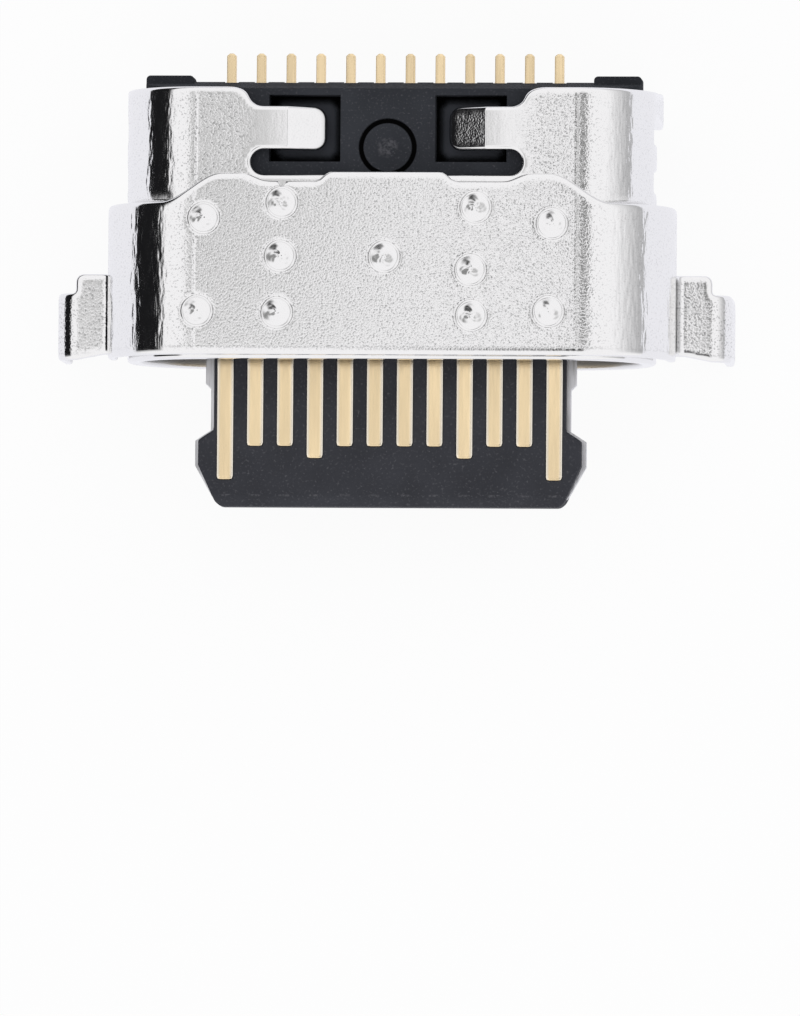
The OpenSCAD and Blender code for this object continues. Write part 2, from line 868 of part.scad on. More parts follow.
module gate_ring() {
    translate([0, gate_y, base_top - gate_depth]) difference() {
        cylinder(h = far, d = gate_d);
        cylinder(h = far, d = gate_d - 2 * gate_groove);
    }
}

// Room for a clinch tab, with the clearance all round
module clinch_recess() {
    room = clinch_lift + fit;
    translate([clinch_tip_x - room, clinch_y0 - room, board_z - far])
        cube([far, clinch_w + 2 * room, far + clinch_lift + shell_t + room]);
}

// Room for a lanced bridge
module lance_recess() {
    translate([lance_x - lance_l / 2 - fit, lance_y - lance_w / 2, -far])
        cube([lance_l + 2 * fit, lance_w, far - mouth_h / 2 + lance_press + fit]);
}

// Window under a foot of the plate, and the small core hole in front of it
module foot_window() {
    x = foot_out - foot_w / 2;
    hole_w = 0.22;
    hole_l = 0.12;
    translate([foot_out - foot_w - groove_side, foot_y - window_l, board_z - far])
        cube([foot_w + 2 * groove_side, window_l + groove_side, far + joint]);
    translate([x - hole_w / 2, plate_back - 2 * hole_l, board_z - far])
        cube([hole_w, hole_l, far - board_z]);
}

module ejector_mark() {
    translate([side_in - pin_in, clinch_y1 + pin_back, board_z - far])
        cylinder(h = far + pin_depth, d = pin_d);
}

// Grooves of the inner tails and notches of the rear tails
module tail_cuts(i) {
    x = contact_x(i);
    x_tail = x + sign(x) * pitch / 2;
    half = tail_w / 2 + groove_side;
    translate([x_tail - half, tube_len, board_z - far])
        cube([2 * half, inner_tail + groove_end, far + contact_t]);
    translate([x - half, notch_y, board_z - far])
        cube([2 * half, far, far + contact_t + groove_end]);
}

module housing() {
    color(PLASTIC) placed() difference() {
        base_body();
        tongue_half();
        underside() tongue_half();
        plate_solid();
        for (i = [1:CONTACTS]) {
            upper_contact_solid(i);
            lower_contact_solid(i);
            tail_cuts(i);
        }
        both_sides() {
            pocket();
            clinch_recess();
            lance_recess();
            foot_window();
            ejector_mark();
        }
        gate_ring();
    }
}

// Ground shields on the thick root of the tongue

module shield_side() {
    back_y = base_y - shield_t;
    translate([root_y, root_z]) square([back_y - bend_r - root_y, shield_t]);
    translate([back_y - bend_r, root_z + shield_t + bend_r]) bend(bend_r, shield_t, 1, -1);
    translate([back_y, root_z + shield_t + bend_r]) square([shield_t, shield_rise - shield_t - bend_r]);
}

module shield_solid() {
    along_x(-shield_half, shield_half) shield_side();
}

module upper_shield() {
    color(STEEL) placed() shield_solid();
}

module lower_shield() {
    color(STEEL) placed() underside() shield_solid();
}

inner_shell();
outer_cover();
housing();
upper_wafer();
lower_wafer();
mid_plate();
upper_shield();
lower_shield();
for (i = [1:CONTACTS]) {
    upper_contact(i);
    lower_contact(i);
}
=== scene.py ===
"""Charging port, dressed for the render: frosted steel shell and cover, black base and tongue, gilt contacts.

Shapes are worked out in millimetres in the mouth's frame: X across, Y back from the front edge of the
cover, Z up from the middle of the tongue. add_piece carries them to the frame of the board, in metres.
"""

import math
from types import SimpleNamespace

import bpy
import numpy as np
from mathutils import Matrix, Vector


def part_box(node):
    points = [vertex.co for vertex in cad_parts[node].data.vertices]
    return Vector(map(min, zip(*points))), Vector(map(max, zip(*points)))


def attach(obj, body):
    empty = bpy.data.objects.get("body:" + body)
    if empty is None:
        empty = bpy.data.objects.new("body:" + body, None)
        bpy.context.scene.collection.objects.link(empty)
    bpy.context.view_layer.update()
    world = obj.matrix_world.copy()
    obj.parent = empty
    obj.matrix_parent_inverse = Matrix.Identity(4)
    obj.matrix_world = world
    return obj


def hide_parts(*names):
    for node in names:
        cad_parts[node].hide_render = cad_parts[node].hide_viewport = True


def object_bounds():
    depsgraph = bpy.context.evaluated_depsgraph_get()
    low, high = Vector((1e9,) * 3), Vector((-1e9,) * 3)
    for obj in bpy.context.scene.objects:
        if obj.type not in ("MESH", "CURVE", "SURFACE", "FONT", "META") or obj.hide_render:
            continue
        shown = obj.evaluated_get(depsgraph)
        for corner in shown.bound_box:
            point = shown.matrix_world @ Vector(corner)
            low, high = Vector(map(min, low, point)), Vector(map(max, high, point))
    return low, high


bl_info = {
    "name": "Charging Port",
    "version": (1, 0, 0),
    "blender": (4, 5, 0),
    "location": "3D View > Sidebar > Charging Port",
    "description": "Builds the steel, plastic and gilt surfaces of a board charging port",
    "category": "Add Mesh",
}

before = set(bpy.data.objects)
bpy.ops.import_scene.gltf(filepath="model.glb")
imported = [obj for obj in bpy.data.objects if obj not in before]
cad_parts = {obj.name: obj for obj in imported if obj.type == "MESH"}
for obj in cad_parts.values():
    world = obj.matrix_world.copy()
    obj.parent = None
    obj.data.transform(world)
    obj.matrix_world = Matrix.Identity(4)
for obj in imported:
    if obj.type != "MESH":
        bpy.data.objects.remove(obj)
CAD_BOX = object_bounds()
MM = 0.001
CONTACTS = 12
# How far the tube's rim stands out of the cover
RIM_OUT = 0.06
# Height of the picture in pixels
PICTURE_HEIGHT = 1016
# Corners of a square about the middle
SQUARE = np.array([[-1, -1, 0], [1, -1, 0], [1, 1, 0], [-1, 1, 0]])


def millimetres(node):
    """Lowest and highest corner of a CAD node, in millimetres in the board's frame."""
    return np.array([list(corner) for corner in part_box(node)]) / MM


# The mouth's frame in the board's: the front edge of the cover and the middle of the tongue
MOUTH = np.array(
    [
        0.0,
        millimetres("inner_shell")[0, 1] + RIM_OUT,
        (millimetres("upper_wafer")[1, 2] + millimetres("lower_wafer")[0, 2]) / 2,
    ]
)


def mouth_box(node):
    """Lowest and highest corner of a CAD node, in millimetres in the mouth's frame."""
    return millimetres(node) - MOUTH


SHELL_BOX = mouth_box("inner_shell")
COVER_BOX = mouth_box("outer_cover")
WAFER_BOX = mouth_box("upper_wafer")
CONTACT_BOX = mouth_box("upper_contact_1")
BASE_BOX = mouth_box("housing")
# Spacing of the contacts, from the two outer ones
PITCH = (mouth_box(f"upper_contact_{CONTACTS}")[:, 0].mean() - CONTACT_BOX[:, 0].mean()) / (CONTACTS - 1)


# Properties


def length(name, description, size):
    """A length property whose default is given in millimetres."""
    return bpy.props.FloatProperty(
        name=name, description=description, default=float(size) * MM, precision=6, unit="LENGTH"
    )


def angle(name, description, degrees):
    """An angle property whose default is given in degrees."""
    return bpy.props.FloatProperty(
        name=name, description=description, default=math.radians(degrees), subtype="ANGLE"
    )


def share(name, description, value):
    """A property between 0 and 1."""
    return bpy.props.FloatProperty(
        name=name, description=description, default=value, min=0.0, max=1.0, subtype="FACTOR"
    )


def number(name, description, value):
    """A plain number."""
    return bpy.props.FloatProperty(name=name, description=description, default=value)


def colour(name, description, value):
    """A linear colour property."""
    return bpy.props.FloatVectorProperty(
        name=name, description=description, default=value, size=3, min=0.0, max=1.0, subtype="COLOR"
    )


class PortShellSizes(bpy.types.PropertyGroup):
    """Sizes of the inner shell"""

    sheet: length("Sheet", "Thickness of the shell's sheet", 0.25)
    edge: length("Edge", "Rounding of the shell's sheared edges", 0.055)
    side: length("Side", "Outer face of the shell's sides from the middle", SHELL_BOX[1, 0])
    top: length("Top", "Outer face of the shell's top over the tongue's middle", SHELL_BOX[1, 2])
    rim: length("Rim", "Front edge of the tube", SHELL_BOX[0, 1])
    tube: length("Tube", "Rear edge of the closed tube", 2.92)
    corner_short: length("Corner", "How much shorter the tube is at its lower corners", 0.12)
    corner_out: length("Corner start", "Start of the short corners beyond the flat floor", 0.2)
    wing_back: length("Wings", "Rear edge of the wings", 4.47)
    wing_full: length("Fullness", "How much tighter the wings bend than the tube", 0.28)
    wing_in: length("Opening", "Half the opening between the wings", 2.30)
    wing_run: length("Step", "Run of the curved step from a wing to its finger", 0.47)
    side_low: length("Side edge", "Lower edge of the wings' sides", 0.25)
    slot_width: length("Slot", "Width of the slot in front of a finger", 0.51)
    slot_lip: length("Slot lip", "How far the slot's front edge stands behind the tube's rear edge", 0.085)
    slot_reach: length("Slot end", "Round end of a slot from the middle", 2.26)
    finger_width: length("Finger", "Width of a finger", 0.72)
    finger_tip: length("Finger tip", "Tip of a finger from the middle", 1.02)
    finger_round: length("Tip rounding", "Rounding of a finger's tip", 0.2)
    finger_bend: length("Bend", "Place where a finger starts to dip", 1.925)
    finger_crease: length("Crease", "Place where a finger turns steeper", 1.65)
    finger_dip: angle("Dip", "Slope of a finger before its crease", 2)
    finger_steep: angle("Steep dip", "Slope of a finger behind its crease", 26.5)
    lance_x: length("Bridge place", "Middle of a lanced bridge from the middle", 1.59)
    lance_y: length("Bridge depth", "Middle of a lanced bridge from the front", 2.20)
    lance_length: length("Bridge length", "Length of a lanced bridge", 1.24)
    lance_width: length("Bridge width", "Width of a bridge's window", 0.35)
    lance_press: length("Bridge press", "How far a bridge is pressed in", 0.3)
    notch_in: length("Middle notch", "Middle notches of the lower edge from the middle", 0.57)
    notch_out: length("Outer notch", "Outer notches of the lower edge from the middle", 1.4)
    notch_radius: length("Notch", "Radius of a notch", 0.16)
    arch: length("Arch", "Depth of the shallow arch between two notches", 0.09)
    clinch_front: length("Clinch front", "Front edge of a clinch tab", 3.15)
    clinch_width: length("Clinch width", "Width of a clinch tab", 0.46)
    clinch_tip_width: length("Clinch tip", "Width of a clinch tab at its tip", 0.16)
    clinch_tip: length("Clinch reach", "Tip of a clinch tab from the middle", 3.57)
    clinch_round: length("Clinch bend", "Inside radius of a clinch tab's bend", 0.08)
    clinch_top: length("Clinch height", "Upper face of a clinch tab's foot", -0.18)
    leg_front: length("Leg front", "Front edge of a rear leg", 3.99)
    leg_back: length("Leg back", "Rear edge of a rear leg", SHELL_BOX[1, 1])
    leg_tip: length("Leg tip", "Chamfer at the tip of a leg", 0.12)
    leg_end: length("Leg end", "Lower end of the legs", SHELL_BOX[0, 2])


class PortCoverSizes(bpy.types.PropertyGroup):
    """Sizes of the outer cover"""

    sheet: length("Sheet", "Thickness of the cover's sheet", 0.15)
    edge: length("Edge", "Rounding of the cover's sheared edges", 0.035)
    top: length("Top", "Outer face of the cover over the tongue's middle", COVER_BOX[1, 2])
    side: length("Side", "Outer face of the cover's sides from the middle", 4.75)
    shoulder: length("Shoulder", "Outside radius of the cover's shoulders", 1.57)
    back: length("Rear edge", "Rear edge in the middle of the cover", COVER_BOX[1, 1])
    dip: length("Dip", "Depth of the two dips in the rear edge", 0.16)
    short: length("Short side", "How much shorter the cover is at its sides", 0.5)
    ear_front: length("Ear front", "Front edge of an ear at the cover's side", 0.11)
    ear_back: length("Ear back", "Rear edge of an ear", 1.46)
    ear_round: length("Ear bend", "Inside radius of the bend from the side to the ear", 0.12)
    ear_top: length("Ear height", "Upper face of the ears", -0.30)
    ear_corner: length("Ear corner", "Rounding of the ear's corner beside the leg", 0.14)
    ear_step: length("Ear step", "Side of the ear beside the leg from the middle", 5.335)
    leg_out: length("Leg", "Outer face of a front leg from the middle", COVER_BOX[1, 0])
    leg_front: length("Leg front", "Front edge of a front leg", 0.02)
    leg_back: length("Leg back", "Rear edge of a front leg", 1.14)
    leg_round: length("Leg bend", "Outside radius of the bend from the ear to the leg", 0.36)
    roll: length("Roll", "How far the outer face rolls over towards a sheared edge", 0.024)
    roll_width: length("Roll width", "Width of the band that rolls over", 0.13)
    weld: length("Weld", "Radius of a weld spot", 0.282)
    weld_lap: length("Weld lap", "How far a weld spot laps over the edge of its hole", 0.02)
    weld_dish: length("Weld dish", "Depth of a weld spot's dish", 0.024)
    weld_hollow: length("Weld hollow", "Depth of the second hollow at its full share", 0.016)
    weld_pit: length("Weld pit", "Depth of the fine pit in a weld's middle", 0.012)


class PortTongueSizes(bpy.types.PropertyGroup):
    """Sizes of the tongue, its contacts and the mark on the base"""

    edge: length("Edge", "Rounding of the tongue's edges", 0.012)
    lead: length("Lead-in", "Lead-in slope at the tongue's tip", 0.14)
    tip_half: length("Tip", "Half the tongue's width at its tip", 2.92)
    tip_cut: length("Tip corner", "Cut corner at the tongue's tip", 0.08)
    neck_half: length("Neck", "Half the tongue's width at its neck", 2.94)
    shoulder_half: length("Shoulder", "Half the tongue's width at its shoulders", WAFER_BOX[1, 0])
    shoulder_front: length("Shoulder front", "Front of the tongue's shoulders", -1.77)
    shoulder_back: length("Shoulder back", "Rear of the tongue's shoulders", -1.35)
    neck_front: length("Neck front", "Front of the tongue's neck", -1.18)
    tip: length("Tip end", "Front end of the tongue", WAFER_BOX[0, 1])
    back: length("Back end", "Rear end of the tongue's halves", WAFER_BOX[1, 1])
    top: length("Top", "Upper face of the tongue", WAFER_BOX[1, 2])
    plate_half: length("Plate", "Half the thickness of the middle plate", WAFER_BOX[0, 2])
    contact_width: length("Contact", "Width of a contact", 0.28)
    contact_sheet: length("Contact sheet", "Thickness of a contact", 0.13)
    contact_edge: length("Contact edge", "Rounding of a contact's edges", 0.02)
    contact_tip: length("Contact tip", "Rounding of a contact's front corners", 0.06)
    contact_bend: length("Contact bend", "Inside radius of a contact's bends", 0.1)
    contact_turn: length("Contact turn", "Place where an upper contact turns down", 4.15)
    tail_width: length("Tail", "Width of a solder tail", 0.2)
    tail_tip: length("Tail tip", "Width of a rear tail at its end", 0.16)
    gate_back: length("Gate mark", "Middle of the round moulding mark", 3.48)
    gate_radius: length("Gate radius", "Outside radius of the round mark's groove", 0.485)
    gate_groove: length("Gate groove", "Width of the round mark's groove", 0.08)
    gate_scar: length("Gate scar", "Radius of the rough spot in the moulding mark", 0.19)
    pocket: length("Pocket", "Floor of the finger pockets over the tongue's middle", 0.845)
    tip_marks: length("Tip marks", "Place of the pale marks at the start of the lead-in", -2.27)


class PortFinish(bpy.types.PropertyGroup):
    """Colours and finishes"""

    steel: colour("Steel", "Colour of the frosted steel", (0.9, 0.897, 0.893))
    # steel_dark also paints the shade on the sheets' lower skins
    steel_dark: colour("Steel grain", "Colour in the grain of the frosted steel", (0.5, 0.5, 0.5))
    steel_rough: share("Steel roughness", "Roughness of the frosted steel", 0.11)
    frost: share("Frost", "Strength of the frost's bump", 0.7)
    frost_grain: number("Frost grain", "Grains of the frost per millimetre", 30.0)
    frost_height: length("Frost height", "Height of the frost's bump", 0.0045)
    streak_grain: number("Streaks", "Streaks in the bends per millimetre", 14.0)
    streak_height: length("Streak height", "Height of the streaks' bump", 0.006)
    crease_width: length("Crease width", "Half the width of the crease beside the flat part", 0.035)
    crease_height: length("Crease height", "Height of the crease's bump", 0.005)
    crown: number("Crown", "Curvature of the pressed top, one over metres", 6.0)
    # Painted shade: the dark grainy line where the front edge starts to roll
    front_shade_line: length("Front line", "Grainy line behind the front edge", 0.125)
    plate: colour("Plate", "Colour of the middle plate and the shields", (0.8, 0.8, 0.82))
    black: colour("Black", "Colour of the base", (0.0345, 0.037, 0.043))
    tongue_black: colour("Tongue black", "Colour of the tongue", (0.032, 0.0335, 0.0405))
    speck: colour("Speck", "Colour of the fine specks in the plastic", (0.09, 0.09, 0.1))
    gloss: share("Base gloss", "Specular level of the base", 0.01)
    tongue_gloss: share("Tongue gloss", "Specular level of the tongue", 0.2)
    gilt: colour("Gilt", "Colour of the contacts", (1.0, 0.8, 0.5))
    # Painted highlight: the paler gold along the contacts' edges stands for their bright edge reflections
    gilt_worn: colour("Gilt edge", "Colour along the edges of the contacts", (1.0, 0.95, 0.84))


class PortStage(bpy.types.PropertyGroup):
    """Camera and studio"""

    tilt_front: angle("Tilt to the mouth", "Camera's tilt from above towards the mouth", 2.900)
    tilt_side: angle("Tilt to the side", "Camera's tilt from above towards +X", 4.300)
    roll: angle("Roll", "Camera's turn about its own axis", 0.469)
    distance: length("Distance", "Distance of the camera from its aim", 250.0)
    pixel: length("Pixel", "Length that one pixel of the picture shows", 1 / 59.905)
    aim_right: length("Aim right", "Aim to the right of the mouth's middle", 0.1398)
    aim_up: length("Aim up", "Aim above the mouth's middle, along the picture", -2.4548)


def in_millimetres(group):
    """Every property of a group as a plain namespace, with lengths in millimetres."""
    values = {}
    for prop in group.bl_rna.properties:
        if prop.identifier in ("rna_type", "name"):
            continue
        value = getattr(group, prop.identifier)
        if prop.type == "FLOAT" and prop.unit == "LENGTH":
            value = value / MM
        values[prop.identifier] = value
    return SimpleNamespace(**values)


# Paths and outlines


def stations(start, *runs):
    """Grid lines from a start through runs of (end, step), each run evenly divided."""
    lines = [np.array([start], float)]
    for end, step in runs:
        first = lines[-1][-1]
        count = max(1, round((end - first) / step))
        lines.append(first + (end - first) * np.arange(1, count + 1) / count)
    return np.concatenate(lines)


def mirrored(half):
    """Grid lines on both sides of 0, from the lines of one side that start at 0."""
    return np.concatenate([-half[:0:-1], half])


def ease(t):
    """Smooth step from 0 to 1: 3 t squared minus 2 t cubed, with t held between 0 and 1."""
    t = np.clip(t, 0, 1)
    return t * t * (3 - 2 * t)


def walk(pieces, distance, start):
    """Place and heading after a distance along a path of straights and arcs.

    A piece is its length and the angle that it turns through, in degrees. The places add up piece by
    piece: a straight adds its length along the heading, and an arc of radius r adds r times the change
    of sine and of cosine of the heading.
    """
    along, up = np.full_like(distance, start[0]), np.full_like(distance, start[1])
    heading, passed, facing = np.zeros_like(distance), 0.0, 0.0
    for size, turn in pieces:
        local = np.clip(distance - passed, 0, size)
        if turn:
            radius = size / math.radians(turn)
            now = facing + local / radius
            along += radius * (np.sin(now) - math.sin(facing))
            up += radius * (math.cos(facing) - np.cos(now))
            heading += local / radius
            facing += math.radians(turn)
        else:
            along += local * math.cos(facing)
            up += local * math.sin(facing)
        passed += size
    return along, up, heading


def arc(centre, radius, start, end, steps=14):
    """Rows (a, b, 0) on a circle from one angle to another, in degrees."""
    t = np.radians(np.linspace(start, end, steps + 1))
    return np.stack([centre[0] + radius * np.cos(t), centre[1] + radius * np.sin(t), 0 * t], axis=1)


def rounded(rows, steps=6):
    """Closed outline from rows (a, b, radius): each corner becomes a parabola that touches both sides.

    The parabola starts and ends radius times the tangent of half the turn away from the corner, and no
    further than just under half a side.
    """
    rows = np.asarray(rows, float)
    corner, radius = rows[:, :2], rows[:, 2]
    back, ahead = np.roll(corner, 1, axis=0) - corner, np.roll(corner, -1, axis=0) - corner
    long_back, long_ahead = np.linalg.norm(back, axis=1), np.linalg.norm(ahead, axis=1)
    cosine = -(back * ahead).sum(1) / (long_back * long_ahead)
    cut = radius * np.tan(np.arccos(np.clip(cosine, -1, 1)) / 2)
    cut = np.minimum(cut, 0.49 * np.minimum(long_back, long_ahead))
    first = corner + back * (cut / long_back)[:, None]
    last = corner + ahead * (cut / long_ahead)[:, None]
    t = np.linspace(0, 1, steps + 1)[None, :, None]
    curve = (1 - t) ** 2 * first[:, None] + 2 * t * (1 - t) * corner[:, None] + t**2 * last[:, None]
    points = curve.reshape(-1, 2)
    moved = np.linalg.norm(points - np.roll(points, 1, axis=0), axis=1) > 1e-6
    return points[moved]


def outline_distance(spots, loops):
    """Distance of each spot to the nearest outline, negative inside.

    The foot of the perpendicular on every side is held between the side's ends, and a spot is inside
    where a line to the right of it crosses an odd number of sides.
    """
    start = np.concatenate(loops)
    end = np.concatenate([np.roll(loop, -1, axis=0) for loop in loops])
    side = end - start
    squared = (side**2).sum(1)
    rise = np.where(side[:, 1] == 0, 1.0, side[:, 1])
    result = []
    for part in np.array_split(spots, len(spots) // 4096 + 1):
        offset = part[:, None] - start[None]
        foot = np.clip((offset * side).sum(-1) / squared, 0, 1)
        gap = ((offset - foot[..., None] * side) ** 2).sum(-1).min(1)
        straddles = (start[None, :, 1] > part[:, None, 1]) != (end[None, :, 1] > part[:, None, 1])
        crossing = start[None, :, 0] + offset[..., 1] / rise * side[None, :, 0]
        odd = (straddles & (part[:, None, 0] < crossing)).sum(1) % 2
        result.append(np.where(odd == 1, -1.0, 1.0) * np.sqrt(gap))
    return np.concatenate(result)


def outline_slope(spots, loops, reach=2e-4):
    """Unit direction in which the distance to the outlines grows, by differences to both sides."""
    step_a, step_b = np.array([reach, 0]), np.array([0, reach])
    slope = np.stack(
        [
            outline_distance(spots + step_a, loops) - outline_distance(spots - step_a, loops),
            outline_distance(spots + step_b, loops) - outline_distance(spots - step_b, loops),
        ],
        axis=1,
    )
    return slope / np.maximum(np.linalg.norm(slope, axis=1), 1e-12)[:, None]


# Sheets


def without_pinches(kept):
    """Drops cells until no two kept cells touch at a corner alone."""
    for _ in range(8):
        falling = kept[:-1, :-1] & kept[1:, 1:] & ~kept[1:, :-1] & ~kept[:-1, 1:]
        rising = kept[1:, :-1] & kept[:-1, 1:] & ~kept[:-1, :-1] & ~kept[1:, 1:]
        if not (falling.any() or rising.any()):
            return kept
        kept = kept.copy()
        kept[:-1, :-1] &= ~falling
        kept[1:, :-1] &= ~rising
    raise RuntimeError("the outline is too fine for its grid")


def sheet_net(loops, a_lines, b_lines, edge, period=0.0, rings=4):
    """Flat net of a cut sheet with rounded edges.

    Cells of the grid stay where the distance to the outline at their middle is under minus the edge's
    radius. The corners on the net's border slide along the distance's slope until the distance is minus
    that radius. Rings of corners then step out to the outline along a quarter circle: out by the radius
    times a sine, and down by the radius times one minus the cosine. With a period, the grid closes on
    itself in a. depth is how far each corner lies inside the first outline.
    """
    count_a, count_b = len(a_lines), len(b_lines)
    first = np.arange(count_a if period else count_a - 1)
    after = (first + 1) % count_a
    middle_a = (a_lines[first] + a_lines[after] + np.where(after == 0, period, 0)) / 2
    middle_b = (b_lines[:-1] + b_lines[1:]) / 2
    spots = np.stack(np.meshgrid(middle_a, middle_b, indexing="ij"), axis=-1)
    inside = outline_distance(spots.reshape(-1, 2), loops).reshape(spots.shape[:2]) < -edge
    kept = without_pinches(inside)
    column, row = np.nonzero(kept)
    low, high = first[column] * count_b + row, after[column] * count_b + row
    cells = np.stack([low, high, high + 1, low + 1], axis=1)
    around = np.pad(kept, 1)
    if period:
        around[0, 1:-1], around[-1, 1:-1] = kept[-1], kept[0]
    beside = [around[1:-1, :-2], around[2:, 1:-1], around[1:-1, 2:], around[:-2, 1:-1]]
    border = np.concatenate([cells[~beside[k][kept]][:, [k, (k + 1) % 4]] for k in range(4)])
    used = np.unique(cells)
    cells, border = np.searchsorted(used, cells), np.searchsorted(used, border)
    flat = np.stack([a_lines[used // count_b], b_lines[used % count_b]], axis=1)
    rim = np.unique(border)
    before, behind = np.zeros(len(used), int), np.zeros(len(used), int)
    behind[border[:, 0]], before[border[:, 1]] = border[:, 1], border[:, 0]
    for relax in (0.0, 0.5, 0.5, 0.0, 0.0):
        even = (flat[before[rim]] + flat[behind[rim]]) / 2
        near = np.abs(even - flat[rim]).max(1) < 0.1
        moved = flat[rim] + relax * np.where(near[:, None], even - flat[rim], 0)
        off = outline_distance(moved, loops) + edge
        flat[rim] = moved - off[:, None] * outline_slope(moved, loops)
    slope = outline_slope(flat[rim], loops)
    turn = np.linspace(0, np.pi / 2, rings + 1)[1:]
    ring = flat[rim][None] + (edge * np.sin(turn))[:, None, None] * slope[None]
    drop = np.concatenate([np.zeros(len(flat)), np.repeat(edge * (1 - np.cos(turn)), len(rim))])
    position = np.searchsorted(rim, border)
    levels = [border] + [len(flat) + k * len(rim) + position for k in range(rings)]
    strips = [
        np.stack([inner[:, 0], outer[:, 0], outer[:, 1], inner[:, 1]], axis=1)
        for inner, outer in zip(levels[:-1], levels[1:])
    ]
    flat = np.concatenate([flat, ring.reshape(-1, 2)])
    return SimpleNamespace(
        flat=flat,
        depth=np.clip(-outline_distance(flat, loops[:1]), 0, None),
        drop=drop,
        faces=np.concatenate([cells] + strips),
        rim=levels[-1],
    )


def sheet_skins(net, place, upper, lower, flip=False, roll=0.0, roll_width=1.0):
    """Closed sheet from a net: an upper and a lower skin, joined by a wall along the outline.

    The skins lie at the heights upper and lower over the sheet's middle surface, and the rounding's drop
    brings them together at the edges. Within roll_width of the outline the upper skin also rolls over, by
    roll times the square of one minus the depth over that width. place carries flat places and heights to
    space. The depth goes on from minus one downwards on the lower skin.
    """
    a, b = net.flat.T
    upper = upper - roll * np.clip(1 - net.depth / roll_width, 0, 1) ** 2
    points = np.concatenate([place(a, b, upper - net.drop), place(a, b, lower + net.drop)])
    count = len(a)
    start, end = net.rim.T
    walls = np.stack([start, start + count, end + count, end], axis=1)
    faces = np.concatenate([net.faces, net.faces[:, ::-1] + count, walls])
    double = np.concatenate([net.flat, net.flat]), np.concatenate([net.depth, -1 - net.depth])
    return points, faces[:, ::-1] if flip else faces, *double


def joined(*parts):
    """One mesh from several (points, faces, flat places, depths)."""
    points, faces, flat, depth = zip(*parts)
    counts = np.cumsum([0] + [len(p) for p in points])
    faces = [f + first for f, first in zip(faces, counts)]
    return np.concatenate(points), np.concatenate(faces), np.concatenate(flat), np.concatenate(depth)


def add_piece(name, shape, material, slot, *nodes):
    """Object from points in the mouth's frame, which stands for nodes.

    The flat places become its UV map, and the depths inside the outline its attribute depth.
    """
    points, faces, flat, depth = shape
    mesh = bpy.data.meshes.new(name)
    mesh.from_pydata((points + MOUTH) * MM, [], faces)
    mesh.polygons.foreach_set("use_smooth", np.ones(len(mesh.polygons), bool))
    corner = np.zeros(len(mesh.loops), int)
    mesh.loops.foreach_get("vertex_index", corner)
    mesh.uv_layers.new(name="Flat").data.foreach_set("uv", flat[corner].astype(np.float32).ravel())
    mesh.attributes.new("depth", "FLOAT", "POINT").data.foreach_set("value", depth.astype(np.float32))
    mesh.materials.append(material)
    mesh.update()
    piece = bpy.data.objects.new(name, mesh)
    bpy.context.scene.collection.objects.link(piece)
    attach(piece, "root")
    if nodes:
        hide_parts(*nodes)


# Finishes

# Range that nearly all values of a noise lie in
NOISE = (0.3, 0.7)
# Depths in millimetres: the bright band along a rolled edge, and the start of the lower skin, which is
# painted darker as shade
EDGE_BAND, LOWER_SKIN = (0.05, 0.15), (-1.0, -1.1)
# Start and end of a bend, in millimetres past the flat part
BEND_START, BEND_END = (0.25, 0.5), (2.7, 2.5)


def feed(tree, node, inputs):
    """Sets the inputs of a node to values, or links them."""
    for name, value in inputs.items():
        if isinstance(value, bpy.types.NodeSocket):
            tree.links.new(value, node.inputs[name])
        else:
            node.inputs[name].default_value = value


def add_node(tree, kind, settings=None, inputs=None):
    """A node with its settings and the values or links of its inputs."""
    node = tree.nodes.new(kind)
    for name, value in (settings or {}).items():
        setattr(node, name, value)
    feed(tree, node, inputs or {})
    return node


def new_finish(name):
    """A material with its node tree and its main shader."""
    material = bpy.data.materials.new(name)
    material.use_nodes = True
    return material, material.node_tree, material.node_tree.nodes["Principled BSDF"]


def reckon(tree, operation, *values):
    """Result of a math node on one or two values."""
    return add_node(tree, "ShaderNodeMath", {"operation": operation}, dict(enumerate(values))).outputs[0]


def vectors(tree, operation, *values):
    """Outputs of a vector math node on its vectors."""
    return add_node(tree, "ShaderNodeVectorMath", {"operation": operation}, dict(enumerate(values))).outputs


def times(tree, first, second):
    """Product of two values."""
    return reckon(tree, "MULTIPLY", first, second)


def away(tree, value, place):
    """Distance of a value from a place."""
    return reckon(tree, "ABSOLUTE", reckon(tree, "SUBTRACT", value, place))


def ramp(tree, value, low, high, to_low=0.0, to_high=1.0):
    """A value carried from one range to another and held there."""
    inputs = {"Value": value, "From Min": low, "From Max": high, "To Min": to_low, "To Max": to_high}
    return add_node(tree, "ShaderNodeMapRange", inputs=inputs).outputs["Result"]


def between(tree, part, first, second):
    """A value between two values, by a part from 0 to 1."""
    return ramp(tree, part, 0, 1, first, second)


def mixed(tree, factor, first, second):
    """A colour between two colours."""
    return add_node(tree, "ShaderNodeMix", {"data_type": "RGBA"}, {0: factor, 6: first, 7: second}).outputs[2]


def opaque(rgb, shade=1.0):
    """A colour with full alpha, darker or lighter by a shade."""
    return (*(shade * c for c in rgb), 1.0)


def here(tree):
    """Object coordinates, in metres in the board's frame."""
    return add_node(tree, "ShaderNodeTexCoord").outputs["Object"]


def axes(tree, vector):
    """The three parts of a vector, by their letters."""
    return add_node(tree, "ShaderNodeSeparateXYZ", inputs={"Vector": vector}).outputs


def flat_axes(tree):
    """Places on the flat net of a piece, in millimetres: X along the sheet, Y back."""
    return axes(tree, add_node(tree, "ShaderNodeUVMap", {"uv_map": "Flat"}).outputs["UV"])


def per_mm(tree, scale, detail, roughness, stretch=(1, 1, 1)):
    """Noise value on Object coordinates, with its scale in cycles per millimetre."""
    place = add_node(tree, "ShaderNodeMapping", inputs={"Vector": here(tree), "Scale": stretch}).outputs[0]
    inputs = {"Vector": place, "Scale": scale / MM, "Detail": detail, "Roughness": roughness}
    return add_node(tree, "ShaderNodeTexNoise", inputs=inputs).outputs["Fac"]


